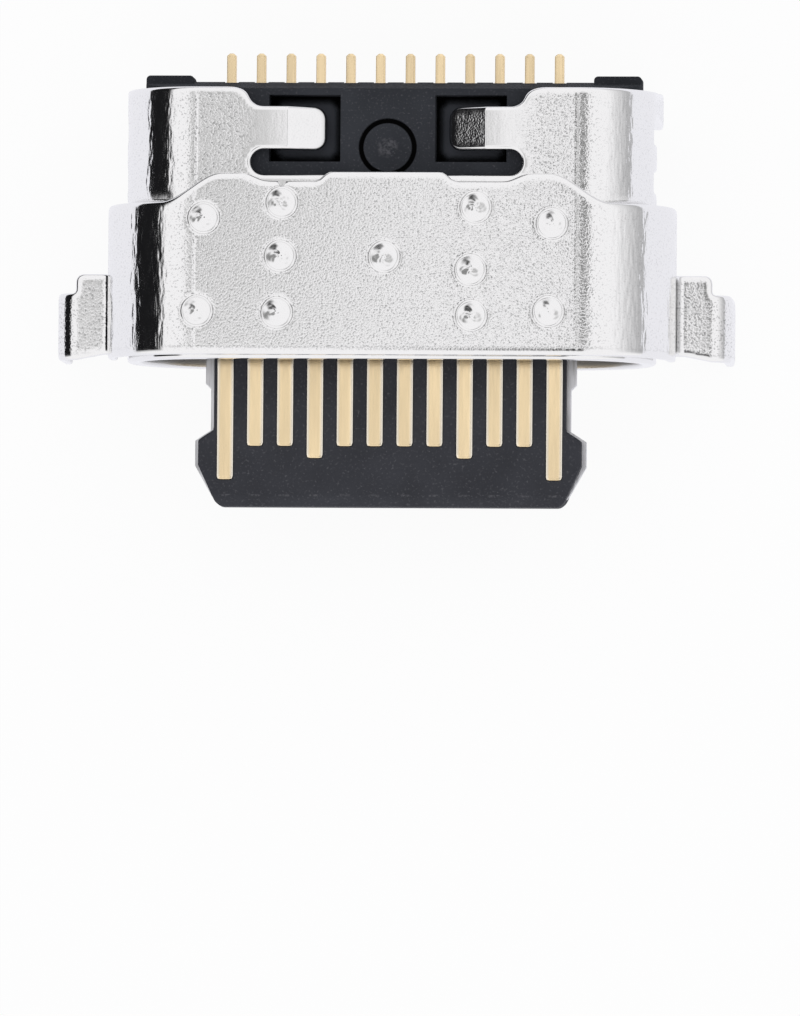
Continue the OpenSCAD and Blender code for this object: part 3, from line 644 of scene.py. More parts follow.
def bumped(tree, height, strength, distance, normal=None):
    """A bump from a height, over another normal if one is given; the distance is in millimetres."""
    inputs = {"Height": height, "Strength": strength, "Distance": distance * MM}
    if normal is not None:
        inputs["Normal"] = normal
    return add_node(tree, "ShaderNodeBump", inputs=inputs).outputs["Normal"]


def soft_edges(tree, radius):
    """Normal rounded over the sharp edges of a CAD node, with the radius in millimetres."""
    return add_node(tree, "ShaderNodeBevel", {"samples": 6}, {"Radius": radius * MM}).outputs["Normal"]


def frosted_steel(finish, name, flat, smooth=None):
    """Plated sheet: frosted on its flats, streaked in its bends, bright along its rolled edges and creases.

    The frost is a fine bump with darker pits, which thicken into a line of painted shade behind the front
    edge, where the edge starts to roll. It fades with the depth inside the outline, in the bend past the flat
    part and between the two smooth places, where flat and smooth are places along the sheet. The pits also
    stay away on the near side of the smooth places. The lower skin is painted darker, as shade, and is
    rougher. A wide bump that falls with the square of the distance from the front edge's middle stands for
    the slight crown of the pressed top, and a narrow one at the end of the flat part for the crease.
    """
    material, tree, shader = new_finish(name)
    depth = add_node(tree, "ShaderNodeAttribute", {"attribute_name": "depth"}).outputs["Fac"]
    inside, inner = ramp(tree, depth, *EDGE_BAND), ramp(tree, depth, *LOWER_SKIN)
    axis = flat_axes(tree)
    along = reckon(tree, "ABSOLUTE", axis["X"])
    past = reckon(tree, "SUBTRACT", along, flat)
    bend = times(tree, ramp(tree, past, *BEND_START), ramp(tree, past, *BEND_END))
    bend_frost, smooth_frost, smooth_pits = 0.3, 0.2, 0.1
    pitted = frost = times(tree, inside, between(tree, bend, 1, bend_frost))
    if smooth:
        near = ramp(tree, along, smooth[0], smooth[0] - 0.03)
        far = ramp(tree, along, smooth[1] - 0.15, smooth[1] + 0.2)
        pitted = times(tree, frost, between(tree, far, smooth_pits, 1))
        frost = times(tree, frost, between(tree, reckon(tree, "MAXIMUM", near, far), smooth_frost, 1))
    grain = per_mm(tree, finish.frost_grain, 1, 0.5)
    streak = per_mm(tree, finish.streak_grain, 1, 0.5, (1, 0.25, 1))
    pit_grain, line_grain, line_width = (0.41, 0.33), (0.6, 0.4), (0.03, 0.01)
    # Painted shade: the pits thicken into a dark line behind the front edge
    line = ramp(tree, away(tree, axis["Y"], finish.front_shade_line), *line_width)
    thick = times(tree, line, ramp(tree, grain, *line_grain))
    pits = times(tree, pitted, reckon(tree, "MAXIMUM", ramp(tree, grain, *pit_grain, 0, 0.9), thick))
    tone = mixed(tree, pits, opaque(finish.steel), opaque(finish.steel_dark))
    spread, dull = 0.03, 0.5
    rough = ramp(tree, streak, *NOISE, finish.steel_rough - spread, finish.steel_rough + spread)
    plan = vectors(tree, "MULTIPLY_ADD", here(tree), (1, 1, 0), (0.0, -MOUTH[1] * MM, 0.0))["Vector"]
    crown = times(tree, vectors(tree, "DOT_PRODUCT", plan, plan)["Value"], -finish.crown)
    crease = ramp(tree, reckon(tree, "ABSOLUTE", past), 0.0, finish.crease_width)
    flat_streaks, folded = 0.12, 0.8
    streaked = times(tree, inside, between(tree, bend, flat_streaks, 1))
    fine = bumped(tree, grain, times(tree, frost, finish.frost), finish.frost_height)
    fine = bumped(tree, streak, streaked, finish.streak_height, fine)
    fine = bumped(tree, crease, times(tree, inside, folded), finish.crease_height, fine)
    surface = {
        # Painted shade: the lower skin, inside the bent sheet, is darkened to the grain's colour
        "Base Color": mixed(tree, inner, tone, opaque(finish.steel_dark)),
        "Roughness": reckon(tree, "ADD", rough, times(tree, inner, dull)),
        "Normal": bumped(tree, crown, 1.0, 1 / MM, fine),
        "Metallic": 1.0,
    }
    feed(tree, shader, surface)
    return material


def rolled_plate(finish):
    """Plain sheet inside the tongue: greyer metal with rolling lines."""
    material, tree, shader = new_finish("rolled_plate")
    line = per_mm(tree, 14, 2, 0.5, (1, 0.1, 1))
    dark, pale = opaque(finish.plate, 0.6), opaque(finish.plate)
    surface = {
        "Base Color": mixed(tree, ramp(tree, line, 0.3, 0.6), dark, pale),
        "Roughness": ramp(tree, line, *NOISE, 0.3, 0.42),
        "Normal": bumped(tree, line, 0.25, 0.003, soft_edges(tree, 0.02)),
        "Metallic": 1.0,
    }
    feed(tree, shader, surface)
    return material


def black_nylon(name, black, speck, gloss, marks):
    """Glass-filled black plastic: satin, with fine pale specks, a fine grain and some rough marks.

    marks is a function that gives the share of rough mark, of painted shade in the grooves and along the
    pocket walls, and of painted light on the pocket floors at each place.
    """
    material, tree, shader = new_finish(name)
    dots, grain = per_mm(tree, 24, 2, 0.6), per_mm(tree, 15, 3, 0.6)
    cloud, torn = per_mm(tree, 1.1, 2, 0.5), per_mm(tree, 9, 2, 0.6)
    rough, groove, floor = marks(tree)
    clouds, specks, tears = (0.35, 0.65), (0.58, 0.76), (0.42, 0.6)
    pale_cloud, pale_floor, shadow = 1.3, 2.6, (0.002, 0.002, 0.002, 1)
    tone = mixed(tree, ramp(tree, cloud, *clouds), opaque(black), opaque(black, pale_cloud))
    tone = mixed(tree, ramp(tree, dots, *specks), tone, opaque(speck))
    # Painted light: the open pocket floors are lifted to a paler black
    tone = mixed(tree, floor, tone, opaque(black, pale_floor))
    tone = mixed(tree, times(tree, rough, ramp(tree, grain, *tears)), tone, opaque(speck))
    fine = bumped(tree, grain, 0.35, 0.004, soft_edges(tree, 0.02))
    surface = {
        # Painted shade: near black in the gate mark's groove and along the pocket walls
        "Base Color": mixed(tree, groove, tone, shadow),
        "Roughness": ramp(tree, grain, *NOISE, 0.55, 0.75),
        "Normal": bumped(tree, torn, times(tree, rough, 0.8), 0.03, fine),
        "Specular IOR Level": gloss,
    }
    feed(tree, shader, surface)
    return material


def pocket_light_and_shade(tree, size):
    """Share of painted light on the open floor of the finger pockets, and share of painted shade along their
    walls.

    Both hold only at the floor's height. The first grows with the open room around a place, and the second
    falls with it.
    """
    off = away(tree, axes(tree, here(tree))["Z"], (MOUTH[2] + size.pocket) * MM)
    level = ramp(tree, off, 0.03 * MM, 0.015 * MM)
    near = {"samples": 8, "only_local": True}
    room = add_node(tree, "ShaderNodeAmbientOcclusion", near, {"Distance": 0.22 * MM}).outputs["AO"]
    wide, tight = (0.7, 0.9), (0.84, 0.68)
    return times(tree, level, ramp(tree, room, *wide)), times(tree, level, ramp(tree, room, *tight))


def gate_marks(size):
    """Marks of the base: a rough scar in the gate mark, painted shade in its groove between two radii, and
    painted light and shade in the pockets.
    """

    def marks(tree):
        plan = vectors(tree, "MULTIPLY", here(tree), (1, 1, 0))["Vector"]
        middle = (0.0, (MOUTH[1] + size.gate_back) * MM, 0.0)
        off = times(tree, vectors(tree, "DISTANCE", plan, middle)["Value"], 1 / MM)
        outer, inner = size.gate_radius, size.gate_radius - size.gate_groove
        before, after = 0.012, 0.006
        # Painted shade: the groove between the two radii is darkened
        groove = ramp(tree, off, inner - before, inner + after)
        groove = times(tree, groove, ramp(tree, off, outer + after, outer - before))
        # Painted light on the open pocket floors and painted shade along the pocket walls
        floor, border = pocket_light_and_shade(tree, size)
        scar = ramp(tree, off, size.gate_scar, size.gate_scar * 0.65)
        return scar, reckon(tree, "MAXIMUM", groove, border), floor

    return marks


def tip_marks(size):
    """Pale marks at the start of the lead-in: a narrow band in Y, cut off at the contacts by a cosine."""

    def marks(tree):
        axis = flat_axes(tree)
        wave = reckon(tree, "COSINE", times(tree, axis["X"], 2 * math.pi / PITCH))
        band = ramp(tree, away(tree, axis["Y"], size.tip_marks), 0.025, 0.01)
        return times(tree, band, ramp(tree, wave, -0.2, -0.6)), 0.0, 0.0

    return marks


def gilt(finish, width):
    """Gold plating: paler along the edges as a painted highlight, with faint wipe marks along the contact."""
    material, tree, shader = new_finish("gilt")
    cloud = per_mm(tree, 1.9, 1, 0.5, (1, 0.15, 0))
    wipe = per_mm(tree, 26, 2, 0.5, (1, 0.08, 1))
    # Painted highlight: a paler gold along both edges of the contact
    edge_highlight = ramp(tree, reckon(tree, "ABSOLUTE", flat_axes(tree)["X"]), width * 0.27, width * 0.47)
    gold = mixed(tree, ramp(tree, cloud, 0.42, 0.58), opaque(finish.gilt, 0.9), opaque(finish.gilt))
    surface = {
        "Base Color": mixed(tree, edge_highlight, gold, opaque(finish.gilt_worn)),
        "Roughness": ramp(tree, wipe, *NOISE, 0.16, 0.26),
        "Normal": bumped(tree, wipe, 0.15, 0.003),
        "Metallic": 1.0,
    }
    feed(tree, shader, surface)
    return material


def dress_node(node, material):
    """Gives a CAD node a finish."""
    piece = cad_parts[node]
    piece.data.materials.clear()
    piece.data.materials.append(material)


# Inner shell


def shell_paths(size):
    """Sections of the shell's sheet along its middle: the closed tube, the clinch tabs and the legs.

    All three run from the top's middle over a straight half top and a quarter turn. The tube goes on over
    another quarter turn to the floor's middle, the leg goes straight down, and the clinch tab goes down
    and turns in under the base.
    """
    radius = size.top - size.sheet / 2
    flat = size.side - size.top
    quarter = math.pi / 2 * radius
    small = size.clinch_round + size.sheet / 2
    drop = -size.clinch_top - size.clinch_round
    foot = size.side - size.sheet / 2 - small - size.clinch_tip
    return SimpleNamespace(
        radius=radius,
        flat=flat,
        side=flat + quarter,
        half=2 * flat + 2 * quarter,
        tube=[(flat, 0), (quarter, -90), (quarter, -90), (flat, 0)],
        leg=[(flat, 0), (quarter, -90), (-size.leg_end, 0)],
        clinch=[(flat, 0), (quarter, -90), (drop, 0), (math.pi / 2 * small, -90), (foot, 0)],
        clinch_turn=flat + quarter + drop + math.pi / 2 * small,
        clinch_end=flat + quarter + drop + math.pi / 2 * small + foot,
    )


def finger_drop(size, across):
    """How far a finger dips at a distance from the middle: two slopes that start in soft bends.

    Each bend is half of t plus the root of t squared plus soft squared, where t is the way past it.
    """

    def past(place, soft):
        t = place - across
        return (t + np.sqrt(t * t + soft * soft)) / 2

    wide, tight = 0.25, 0.005
    first, second = math.tan(size.finger_dip), math.tan(size.finger_steep)
    return first * past(size.finger_bend, wide) + (second - first) * past(size.finger_crease, tight)


def shell_place(size, path):
    """Function that bends flat places of the shell: round the tube, down the legs or in under the base.

    Behind the tube the bends are fuller: a place there moves out by the fullness times one minus the sine
    of the turn, and up by the fullness times one minus its cosine, fading into the flat and down the side.
    """

    def place(a, b, height):
        around = np.abs(a)
        side = np.where(a < 0, -1.0, 1.0)
        start = (0.0, path.radius)
        tube, clinch, leg = (walk(run, around, start) for run in (path.tube, path.clinch, path.leg))
        in_tube = b < size.tube + 0.1
        in_clinch = b < (size.clinch_front + size.clinch_width + size.leg_front) / 2
        x, z, heading = (
            np.where(in_tube, t, np.where(in_clinch, c, g)) for t, c, g in zip(tube, clinch, leg)
        )
        turn = np.clip(-heading, 0, math.pi / 2)
        lead, run, into_flat, down_side = 0.7, 0.6, 0.6, 0.8
        full = size.wing_full * ease((b - size.tube + lead) / run)
        x = x + full * ease((around - path.flat + into_flat) / into_flat) * (1 - np.sin(turn))
        z = z + full * (1 - np.cos(turn)) * (1 - ease((around - path.side) / down_side))
        finger = ~in_tube & (around < path.flat)
        z = z - np.where(finger, finger_drop(size, around), 0)
        return np.stack([side * (x - height * np.sin(heading)), b, z + height * np.cos(heading)], axis=1)

    return place


def shell_half_outline(size, path):
    """Rows (a, b, radius) of the right half's outline behind the rim, from the floor to the top."""
    floor = path.half
    low = path.flat + path.radius * math.acos(size.side_low / path.radius)
    corner = floor - path.flat - path.radius * math.asin(size.corner_out / path.radius)
    end = path.side - size.leg_end
    finger_front = size.tube + size.slot_width
    finger_back = finger_front + size.finger_width
    slot_front, slot_half = size.tube + size.slot_lip, (size.slot_width - size.slot_lip) / 2
    slot_middle = size.slot_reach - slot_half
    rise = size.wing_back - finger_back
    turn = 2 * math.degrees(math.atan(rise / size.wing_run))
    step = size.wing_run / (2 * math.sin(math.radians(turn)))
    step_in, step_out = size.wing_in - size.wing_run / 2, size.wing_in + size.wing_run / 2
    clinch_back = size.clinch_front + size.clinch_width
    tip = size.finger_tip + size.finger_round
    notch = math.degrees(math.asin(size.arch / size.notch_radius))
    sharp, small, soft, wide = 0.04, 0.05, 0.06, 0.1
    rows = [
        [[floor + 1, size.tube, 0]],
        arc((floor - size.notch_in, size.tube), size.notch_radius, 0, -180 + notch),
        arc((floor - size.notch_out, size.tube), size.notch_radius, -notch, -180),
        [[corner, size.tube, small], [corner, size.tube - size.corner_short, small]],
        [[low, size.tube - size.corner_short, 0.08], [low, size.clinch_front, soft]],
        [[path.clinch_turn, size.clinch_front, small]],
        [[path.clinch_end, clinch_back - size.clinch_tip_width, soft], [path.clinch_end, clinch_back, soft]],
        [[low, clinch_back, soft], [low, size.leg_front, wide]],
        [[end - size.leg_tip, size.leg_front, sharp], [end, size.leg_front + size.leg_tip, sharp]],
        [[end, size.leg_back - size.leg_tip, sharp], [end - size.leg_tip, size.leg_back, sharp]],
        [[low, size.wing_back, wide]],
        arc((step_out, size.wing_back - step), step, 90, 90 + turn, 8),
        arc((step_in, finger_back + step), step, turn - 90, -90, 8),
        arc((tip, finger_back - size.finger_round), size.finger_round, 90, 180, 8),
        arc((tip, finger_front + size.finger_round), size.finger_round, 180, 270, 8),
        [[slot_middle, finger_front, 0]],
        arc((slot_middle, slot_front + slot_half), slot_half, 90, -90, 16)[1:-1],
        [[slot_middle, slot_front, 0]],
    ]
    return np.concatenate([np.asarray(r, float) for r in rows])


def shell_shape(size):
    """The bent shell: its flat net cut from both halves of the outline, and the two lanced bridges."""
    path = shell_paths(size)
    right = shell_half_outline(size, path)
    left = right[::-1] * (-1, 1, 1)
    front = [[-path.half - 1, size.rim, 0], [path.half + 1, size.rim, 0]]
    outer = rounded(np.concatenate([front, right, left]))
    window_a = path.half - size.lance_x + size.lance_length / 2 * SQUARE[:, 0]
    window_b = size.lance_y + size.lance_width / 2 * SQUARE[:, 1]
    radius = np.full(4, 0.04)
    windows = [rounded(np.stack([side * window_a, window_b, radius], axis=1)) for side in (-1, 1)]
    half = stations(
        0, (0.95, 0.1), (1.626, 0.036), (1.674, 0.006), (2.65, 0.036), (path.side, 0.052), (6.9, 0.05),
        (path.half - 2.4, 0.07), (path.half, 0.04),
    )  # fmt: skip
    b_lines = stations(
        size.rim, (size.rim + 0.12, 0.06), (1.92, 0.16), (2.48, 0.04), (2.74, 0.06), (size.leg_back, 0.04)
    )
    net = sheet_net([outer] + windows, mirrored(half)[1:], b_lines, size.edge, period=2 * path.half)
    skins = sheet_skins(net, shell_place(size, path), size.sheet / 2, -size.sheet / 2)
    return joined(skins, lance_shape(size, path, -1), lance_shape(size, path, 1))


def lance_shape(size, path, side):
    """A strip of the floor pressed up to a soft V: its rise falls evenly to both ends from the middle."""
    half, soft, shear, edge = size.lance_length / 2, 0.06, 0.03, 0.04
    reach_a, reach_b = half + size.edge, size.lance_width / 2 - shear
    a_lines, b_lines = (stations(-reach, (reach, 0.05)) for reach in (reach_a, reach_b))
    net = sheet_net([rounded(SQUARE * (reach_a, reach_b, 0))], a_lines, b_lines, edge)

    def place(a, b, height):
        rise = size.lance_press * np.clip(1 - (np.sqrt(a * a + soft * soft) - soft) / half, 0, 1)
        return np.stack([side * size.lance_x + a, size.lance_y + b, -path.radius + rise - height], axis=1)

    return sheet_skins(net, place, size.sheet / 2, -size.sheet / 2, flip=True)


class PORT_OT_shell(bpy.types.Operator):
    """Build the inner shell as one bent and cut sheet"""

    bl_idname = "port.shell"
    bl_label = "Inner shell"

    def execute(self, context):
        size = in_millimetres(context.scene.port_shell)
        smooth = (size.finger_crease, size.slot_reach)
        finish = in_millimetres(context.scene.port_finish)
        steel = frosted_steel(finish, "frosted_shell", shell_paths(size).flat, smooth)
        add_piece("frosted_shell", shell_shape(size), steel, "shell_steel", "inner_shell")
        return {"FINISHED"}


# Cover

# Weld spots: place across, place back from the cover's front edge, and share of a second, narrower hollow
WELDS = np.array(
    [
        [-3.03, 2.27, 0.7], [-1.73, 2.53, 0.0], [1.5, 2.46, 0.0], [2.77, 2.19, 0.8], [-1.75, 1.64, 0.5],
        [-0.02, 1.63, 0.0], [1.42, 1.42, 0.2], [-3.13, 0.72, 0.9], [-1.8, 0.7, 0.8], [1.44, 0.66, 0.2],
        [2.72, 0.73, 1.0],
    ]
)  # fmt: skip


def cover_path(size):
    """Section of the cover along its sheet's middle: top, shoulder, side, bend to the ear, ear, bend, leg."""
    half = size.sheet / 2
    flat = size.side - size.shoulder
    shoulder = math.pi / 2 * (size.shoulder - half)
    wall = size.top - size.shoulder - size.ear_top - size.ear_round
    ear_bend = math.pi / 2 * (size.ear_round + half)
    ear = size.leg_out - size.leg_round - size.side - size.ear_round
    leg_bend = math.pi / 2 * (size.leg_round - half)
    leg = size.ear_top - size.leg_round - size.leg_end
    pieces = [(flat, 0), (shoulder, -90), (wall, 0), (ear_bend, 90), (ear, 0), (leg_bend, -90), (leg, 0)]
    ends = np.cumsum([piece[0] for piece in pieces])
    return SimpleNamespace(pieces=pieces, ends=ends, start=(0.0, size.top - half))


def cover_place(path):
    """Function that bends flat places of the cover along its section, the same on both sides."""

    def place(a, b, height):
        side = np.where(a < 0, -1.0, 1.0)
        x, z, heading = walk(path.pieces, np.abs(a), path.start)
        return np.stack([side * (x - height * np.sin(heading)), b, z + height * np.cos(heading)], axis=1)

    return place


def cover_edge(size, shell, across):
    """Rear edge at a distance from the middle: straight, a dip over each slot, a slope to the short side."""

    def blend(start, end):
        return ease((across - start) / (end - start))

    regain, flat = 0.85, shell.side - shell.top
    return (
        size.back
        - size.dip * blend(shell.finger_tip - 0.1, shell.finger_tip + 0.15)
        + size.dip * regain * blend(shell.slot_reach - 0.3, shell.slot_reach + 0.15)
        - (size.short - size.dip * (1 - regain)) * blend(flat - 0.15, flat + 0.85)
    )


def cover_half_outline(size, shell, path):
    """Rows (a, b, radius) of the right half's outline: front edge, ear, leg, ear, and the rear edge back."""
    wall, ear_bend, ear, leg = path.ends[2], path.ends[3], path.ends[4], path.ends[6]
    step = ear + (size.ear_step - size.leg_out + size.leg_round)
    tip = shell.leg_tip
    a = np.linspace(wall, 0.0, 70)
    across, _, _ = walk(path.pieces, a, path.start)
    rear = np.stack([a, cover_edge(size, shell, across), 0 * a], axis=1)
    rear[0, 2] = 0.1
    rows = [
        [[wall, 0, 0.04], [wall, size.ear_front, 0.03], [ear_bend, size.ear_front, 0.1]],
        [[step, size.leg_front, 0.08], [leg - tip, size.leg_front, 0.05], [leg, size.leg_front + tip, 0.05]],
        [[leg, size.leg_back - tip, 0.05], [leg - tip, size.leg_back, 0.05], [step, size.leg_back, 0.06]],
        [[step, size.ear_back, size.ear_corner], [wall, size.ear_back, 0.06]],
        rear,
    ]
    return np.concatenate([np.asarray(r, float) for r in rows])


def cover_shape(size, shell):
    """The bent cover: its flat net cut from both halves of the outline, with round holes for the welds."""
    path = cover_path(size)
    right = cover_half_outline(size, shell, path)
    left = right[:-1][::-1] * (-1, 1, 1)
    outer = rounded(np.concatenate([right, left]))
    holes = [arc(spot, size.weld - size.weld_lap, 0, 360, 48)[:-1, :2] for spot in WELDS[:, :2]]
    half = stations(0, (3.45, 0.045), (path.ends[1], 0.06), (path.ends[6], 0.05))
    b_lines = stations(0, (2.3, 0.045), (size.back, 0.03))
    net = sheet_net([outer] + holes, mirrored(half), b_lines, size.edge)
    half = size.sheet / 2
    return sheet_skins(net, cover_place(path), half, -half, roll=size.roll, roll_width=size.roll_width)


def weld_shape(size, path, spot, second, seed):
    """A weld spot as a round plug that laps over its hole: a rounded border, a dish and a fine pit.

    With q the radius as a share of the border's, the height is minus the dish times (1 - q squared), minus
    a second, narrower hollow and the pit, both bell curves, plus ripples that turn with the angle. The
    border drops in a quarter circle, and a wall goes down to the flat underside.
    """
    rng = np.random.default_rng(seed)
    around, turns, soft = 48, 22, 0.05
    hollow_width, pit_width = 0.09, 0.018
    slow_ripple, fast_ripple = 0.0008, 0.0005
    corner = np.linspace(0, np.pi / 2, 5)[1:]
    theta = np.linspace(0, 2 * np.pi, around, endpoint=False)
    inner = size.weld - soft
    share_out = np.linspace(0.03, 1, turns)
    radius = np.concatenate([[0.0], share_out * inner, inner + soft * np.sin(corner), [size.weld, 0.0]])
    r, t = np.meshgrid(radius[1:-1], theta, indexing="ij")
    a, b = r * np.cos(t), r * np.sin(t)
    off = rng.uniform(-0.015, 0.015, 2)
    dish = size.weld_dish * rng.uniform(0.8, 1.2)
    hollow = size.weld_hollow * second

    def height(a, b):
        q = np.minimum(np.hypot(a, b) / inner, 1)
        spin = np.arctan2(b, a)
        gap = (a - off[0]) ** 2 + (b - off[1]) ** 2
        middle = hollow * np.exp(-gap / hollow_width**2) + size.weld_pit * np.exp(-gap / pit_width**2)
        ripple = slow_ripple * np.sin(3 * spin + 9 * q + seed)
        ripple = ripple + fast_ripple * np.sin(7 * spin - 14 * q + 2 * seed)
        return -dish * (1 - q**2) - middle + ripple * q * (1 - q) * 4

    top = height(a, b)
    rows = len(radius) - 2
    drop = np.zeros(rows)
    drop[turns : turns + 4] = soft * (1 - np.cos(corner))
    h = size.sheet / 2 + top - drop[:, None]
    h[-1] = -size.sheet / 2
    flat = np.concatenate([[[0, 0]], np.stack([a, b], -1).reshape(-1, 2), [[0, 0]]])
    pole = size.sheet / 2 + height(np.zeros(1), np.zeros(1))
    heights = np.concatenate([pole, h.ravel(), [-size.sheet / 2]])
    points = cover_place(path)(flat[:, 0] + spot[0], flat[:, 1] + spot[1], heights)
    k = np.arange(around)
    n = (k + 1) % around
    first = 1 + np.arange(rows - 1)[:, None] * around
    quads = np.stack([first + k, first + around + k, first + around + n, first + n], axis=-1).reshape(-1, 4)
    last = 1 + (rows - 1) * around
    fan = np.stack([0 * k, 1 + k, 1 + n], axis=1)
    under = np.stack([np.full(around, last + around), last + n, last + k], axis=1)
    return points, quads, np.concatenate([fan, under]), flat + spot


def welds_shape(size):
    """All weld spots as one mesh of separate plugs: points, quads and triangles as one face list."""
    path = cover_path(size)
    plugs = [weld_shape(size, path, weld[:2], weld[2], k + 1) for k, weld in enumerate(WELDS)]
    starts = np.cumsum([0] + [len(plug[0]) for plug in plugs])
    faces = []
    for plug, start in zip(plugs, starts):
        faces += (plug[1] + start).tolist() + (plug[2] + start).tolist()
    points, flat = np.concatenate([p[0] for p in plugs]), np.concatenate([p[3] for p in plugs])
    return points, faces, flat, np.zeros(len(points))


class PORT_OT_cover(bpy.types.Operator):
    """Build the outer cover with its ears and legs, and the weld spots in it"""

    bl_idname = "port.cover"
    bl_label = "Outer cover and welds"

    def execute(self, context):
        shell = in_millimetres(context.scene.port_shell)
        size = in_millimetres(context.scene.port_cover)
        size.leg_end = shell.leg_end
        finish = in_millimetres(context.scene.port_finish)
        steel = frosted_steel(finish, "frosted_cover", cover_path(size).ends[0])
        add_piece("welded_cover", cover_shape(size, shell), steel, "cover_steel", "outer_cover")
        add_piece("weld_spots", welds_shape(size), steel, "cover_steel")
        return {"FINISHED"}


# Tongue and contacts


def contact_x(number):
    """Middle of a contact, from its number."""
    return (number - (CONTACTS + 1) / 2) * PITCH


def strip_outline(size, front, widths):
    """Closed outline of a straight strip: round front corners, then half widths at places along it."""
    half, tip = widths[0][1] / 2, size.contact_tip
    right = [[width / 2, place, 0.05] for place, width in widths]
    right[-1][2] = 0.03
    left = [[-a, b, radius] for a, b, radius in right[::-1]]
    return rounded([[-half, front, tip], [half, front, tip]] + right + left)


def contact_skins(size, front, widths, runs, place, flip=False):
    """A strip with rounded edges, from its widths and the runs of its grid lines, bent by place."""
    half, sheet = size.contact_width / 2, size.contact_sheet / 2
    loops = [strip_outline(size, front, widths)]
    net = sheet_net(loops, np.linspace(-half, half, 9), stations(front, *runs), size.contact_edge)
    return sheet_skins(net, place, sheet, -sheet, flip=flip)


def upper_path(size):
    """Side view of an upper contact along its middle: along the tongue, down behind it, back to the tail."""
    half = size.contact_sheet / 2
    middle = CONTACT_BOX[1, 2] - half
    bend = math.pi / 2 * (size.contact_bend + half)
    drop = (middle - CONTACT_BOX[0, 2] - half) - 2 * (size.contact_bend + half)
    tail_start = size.contact_turn + 2 * (size.contact_bend + half)
    tail = CONTACT_BOX[1, 1] - tail_start
    pieces = [(size.contact_turn - size.tip, 0), (bend, -90), (drop, 0), (bend, 90), (tail, 0)]
    extra = 2 * bend + drop - 2 * (size.contact_bend + half)
    return SimpleNamespace(pieces=pieces, start=(size.tip, middle), extra=extra)


def upper_contact_shape(size, number):
    """An upper contact: a strip with rounded edges, bent along its side view."""
    path = upper_path(size)
    box = mouth_box(f"upper_contact_{number}")
    x, front, end = box[:, 0].mean(), box[0, 1], box[1, 1] + path.extra
    cover, narrow, run = 0.07, 2.05, 0.3
    rear = BASE_BOX[1, 1] - cover + path.extra
    widths = [
        (narrow, size.contact_width), (narrow + run, size.tail_width), (rear - 0.1, size.tail_width),
        (rear, size.tail_tip), (end, size.tail_tip),
    ]  # fmt: skip
    fine, plain = 0.035, 0.2
    runs = [(front + 0.2, fine), (2.0, plain), (2.4, 0.05), (4.1, plain), (rear - 0.05, fine), (end, fine)]

    def place(a, b, height):
        y, z, heading = walk(path.pieces, b - size.tip, path.start)
        return np.stack([x + a, y - height * np.sin(heading), z + height * np.cos(heading)], axis=1)

    return contact_skins(size, front, widths, runs, place)


def lower_contact_shape(size, number):
    """A lower contact: a strip that steps out and up to the board's plane between two places, evenly."""
    box = mouth_box(f"lower_contact_{number}")
    x = contact_x(number)
    front, end = box[0, 1], box[1, 1]
    shift = math.copysign(PITCH / 2, x)
    half = size.contact_sheet / 2
    start_z, end_z = -CONTACT_BOX[1, 2] + half, CONTACT_BOX[0, 2] + half
    step, run = 2.2, 0.4
    widths = [(step, size.contact_width), (step + run, size.tail_width), (end, size.tail_width)]
    fine, plain = 0.035, 0.2
    runs = [(front + 0.2, fine), (2.15, plain), (2.65, 0.05), (end - 0.1, plain), (end, fine)]

    def place(a, b, height):
        t = ease((b - step) / run)
        return np.stack([x + a + shift * t, b, start_z + (end_z - start_z) * t - height], axis=1)

    return contact_skins(size, front, widths, runs, place, flip=True)


def wafer_shape(size, side):
    """A half of the tongue: a slab cut along the tongue's plan, open under each contact, with a lead-in.

    The lead-in lowers the outer face evenly from its start to the tip. side is 1 above and -1 below.
    """
    half = [
        [size.tip_half - size.tip_cut, size.tip, 0.14], [size.tip_half, size.tip + size.tip_cut, 0.14],
        [size.shoulder_half, size.shoulder_front, 0.04], [size.shoulder_half, size.shoulder_back, 0.04],
        [size.neck_half, size.neck_front, 0.04], [size.neck_half, size.back, 0],
    ]  # fmt: skip
    loops = [rounded(half + [[-a, b, r] for a, b, r in half[::-1]])]
    row = "upper" if side > 0 else "lower"
    for number in range(1, CONTACTS + 1):
        front = mouth_box(f"{row}_contact_{number}")[0, 1]
        slot = strip_outline(size, front, [(size.back - 0.06, size.contact_width)])
        loops.append(slot + (contact_x(number), 0))
    a_lines = mirrored(stations(0, (size.shoulder_half, 0.03)))
    b_lines = stations(size.tip, (size.neck_front, 0.04), (size.back - 0.2, 0.16), (size.back, 0.04))
    net = sheet_net(loops, a_lines, b_lines, size.edge, rings=2)
    b = net.flat[:, 1]
    thick = size.top - size.plate_half - np.clip(size.tip + size.lead - b, 0, None)

    def place(a, b, height):
        return np.stack([a, b, side * (size.plate_half + height)], axis=1)

    return sheet_skins(net, place, thick, 0.0, flip=side < 0)


class PORT_OT_tongue(bpy.types.Operator):
    """Build the two plastic halves of the tongue and dress the plate between them"""

    bl_idname = "port.tongue"
    bl_label = "Tongue"

    def execute(self, context):
        size = in_millimetres(context.scene.port_tongue)
        finish = context.scene.port_finish
        black, gloss = finish.tongue_black, finish.tongue_gloss
        nylon = black_nylon("tongue_nylon", black, finish.speck, gloss, tip_marks(size))
        add_piece("tongue_upper", wafer_shape(size, 1), nylon, "tongue_plastic", "upper_wafer")
        add_piece("tongue_lower", wafer_shape(size, -1), nylon, "tongue_plastic", "lower_wafer")
        plate = rolled_plate(finish)
        for node in ("mid_plate", "upper_shield", "lower_shield"):
            dress_node(node, plate)
        return {"FINISHED"}


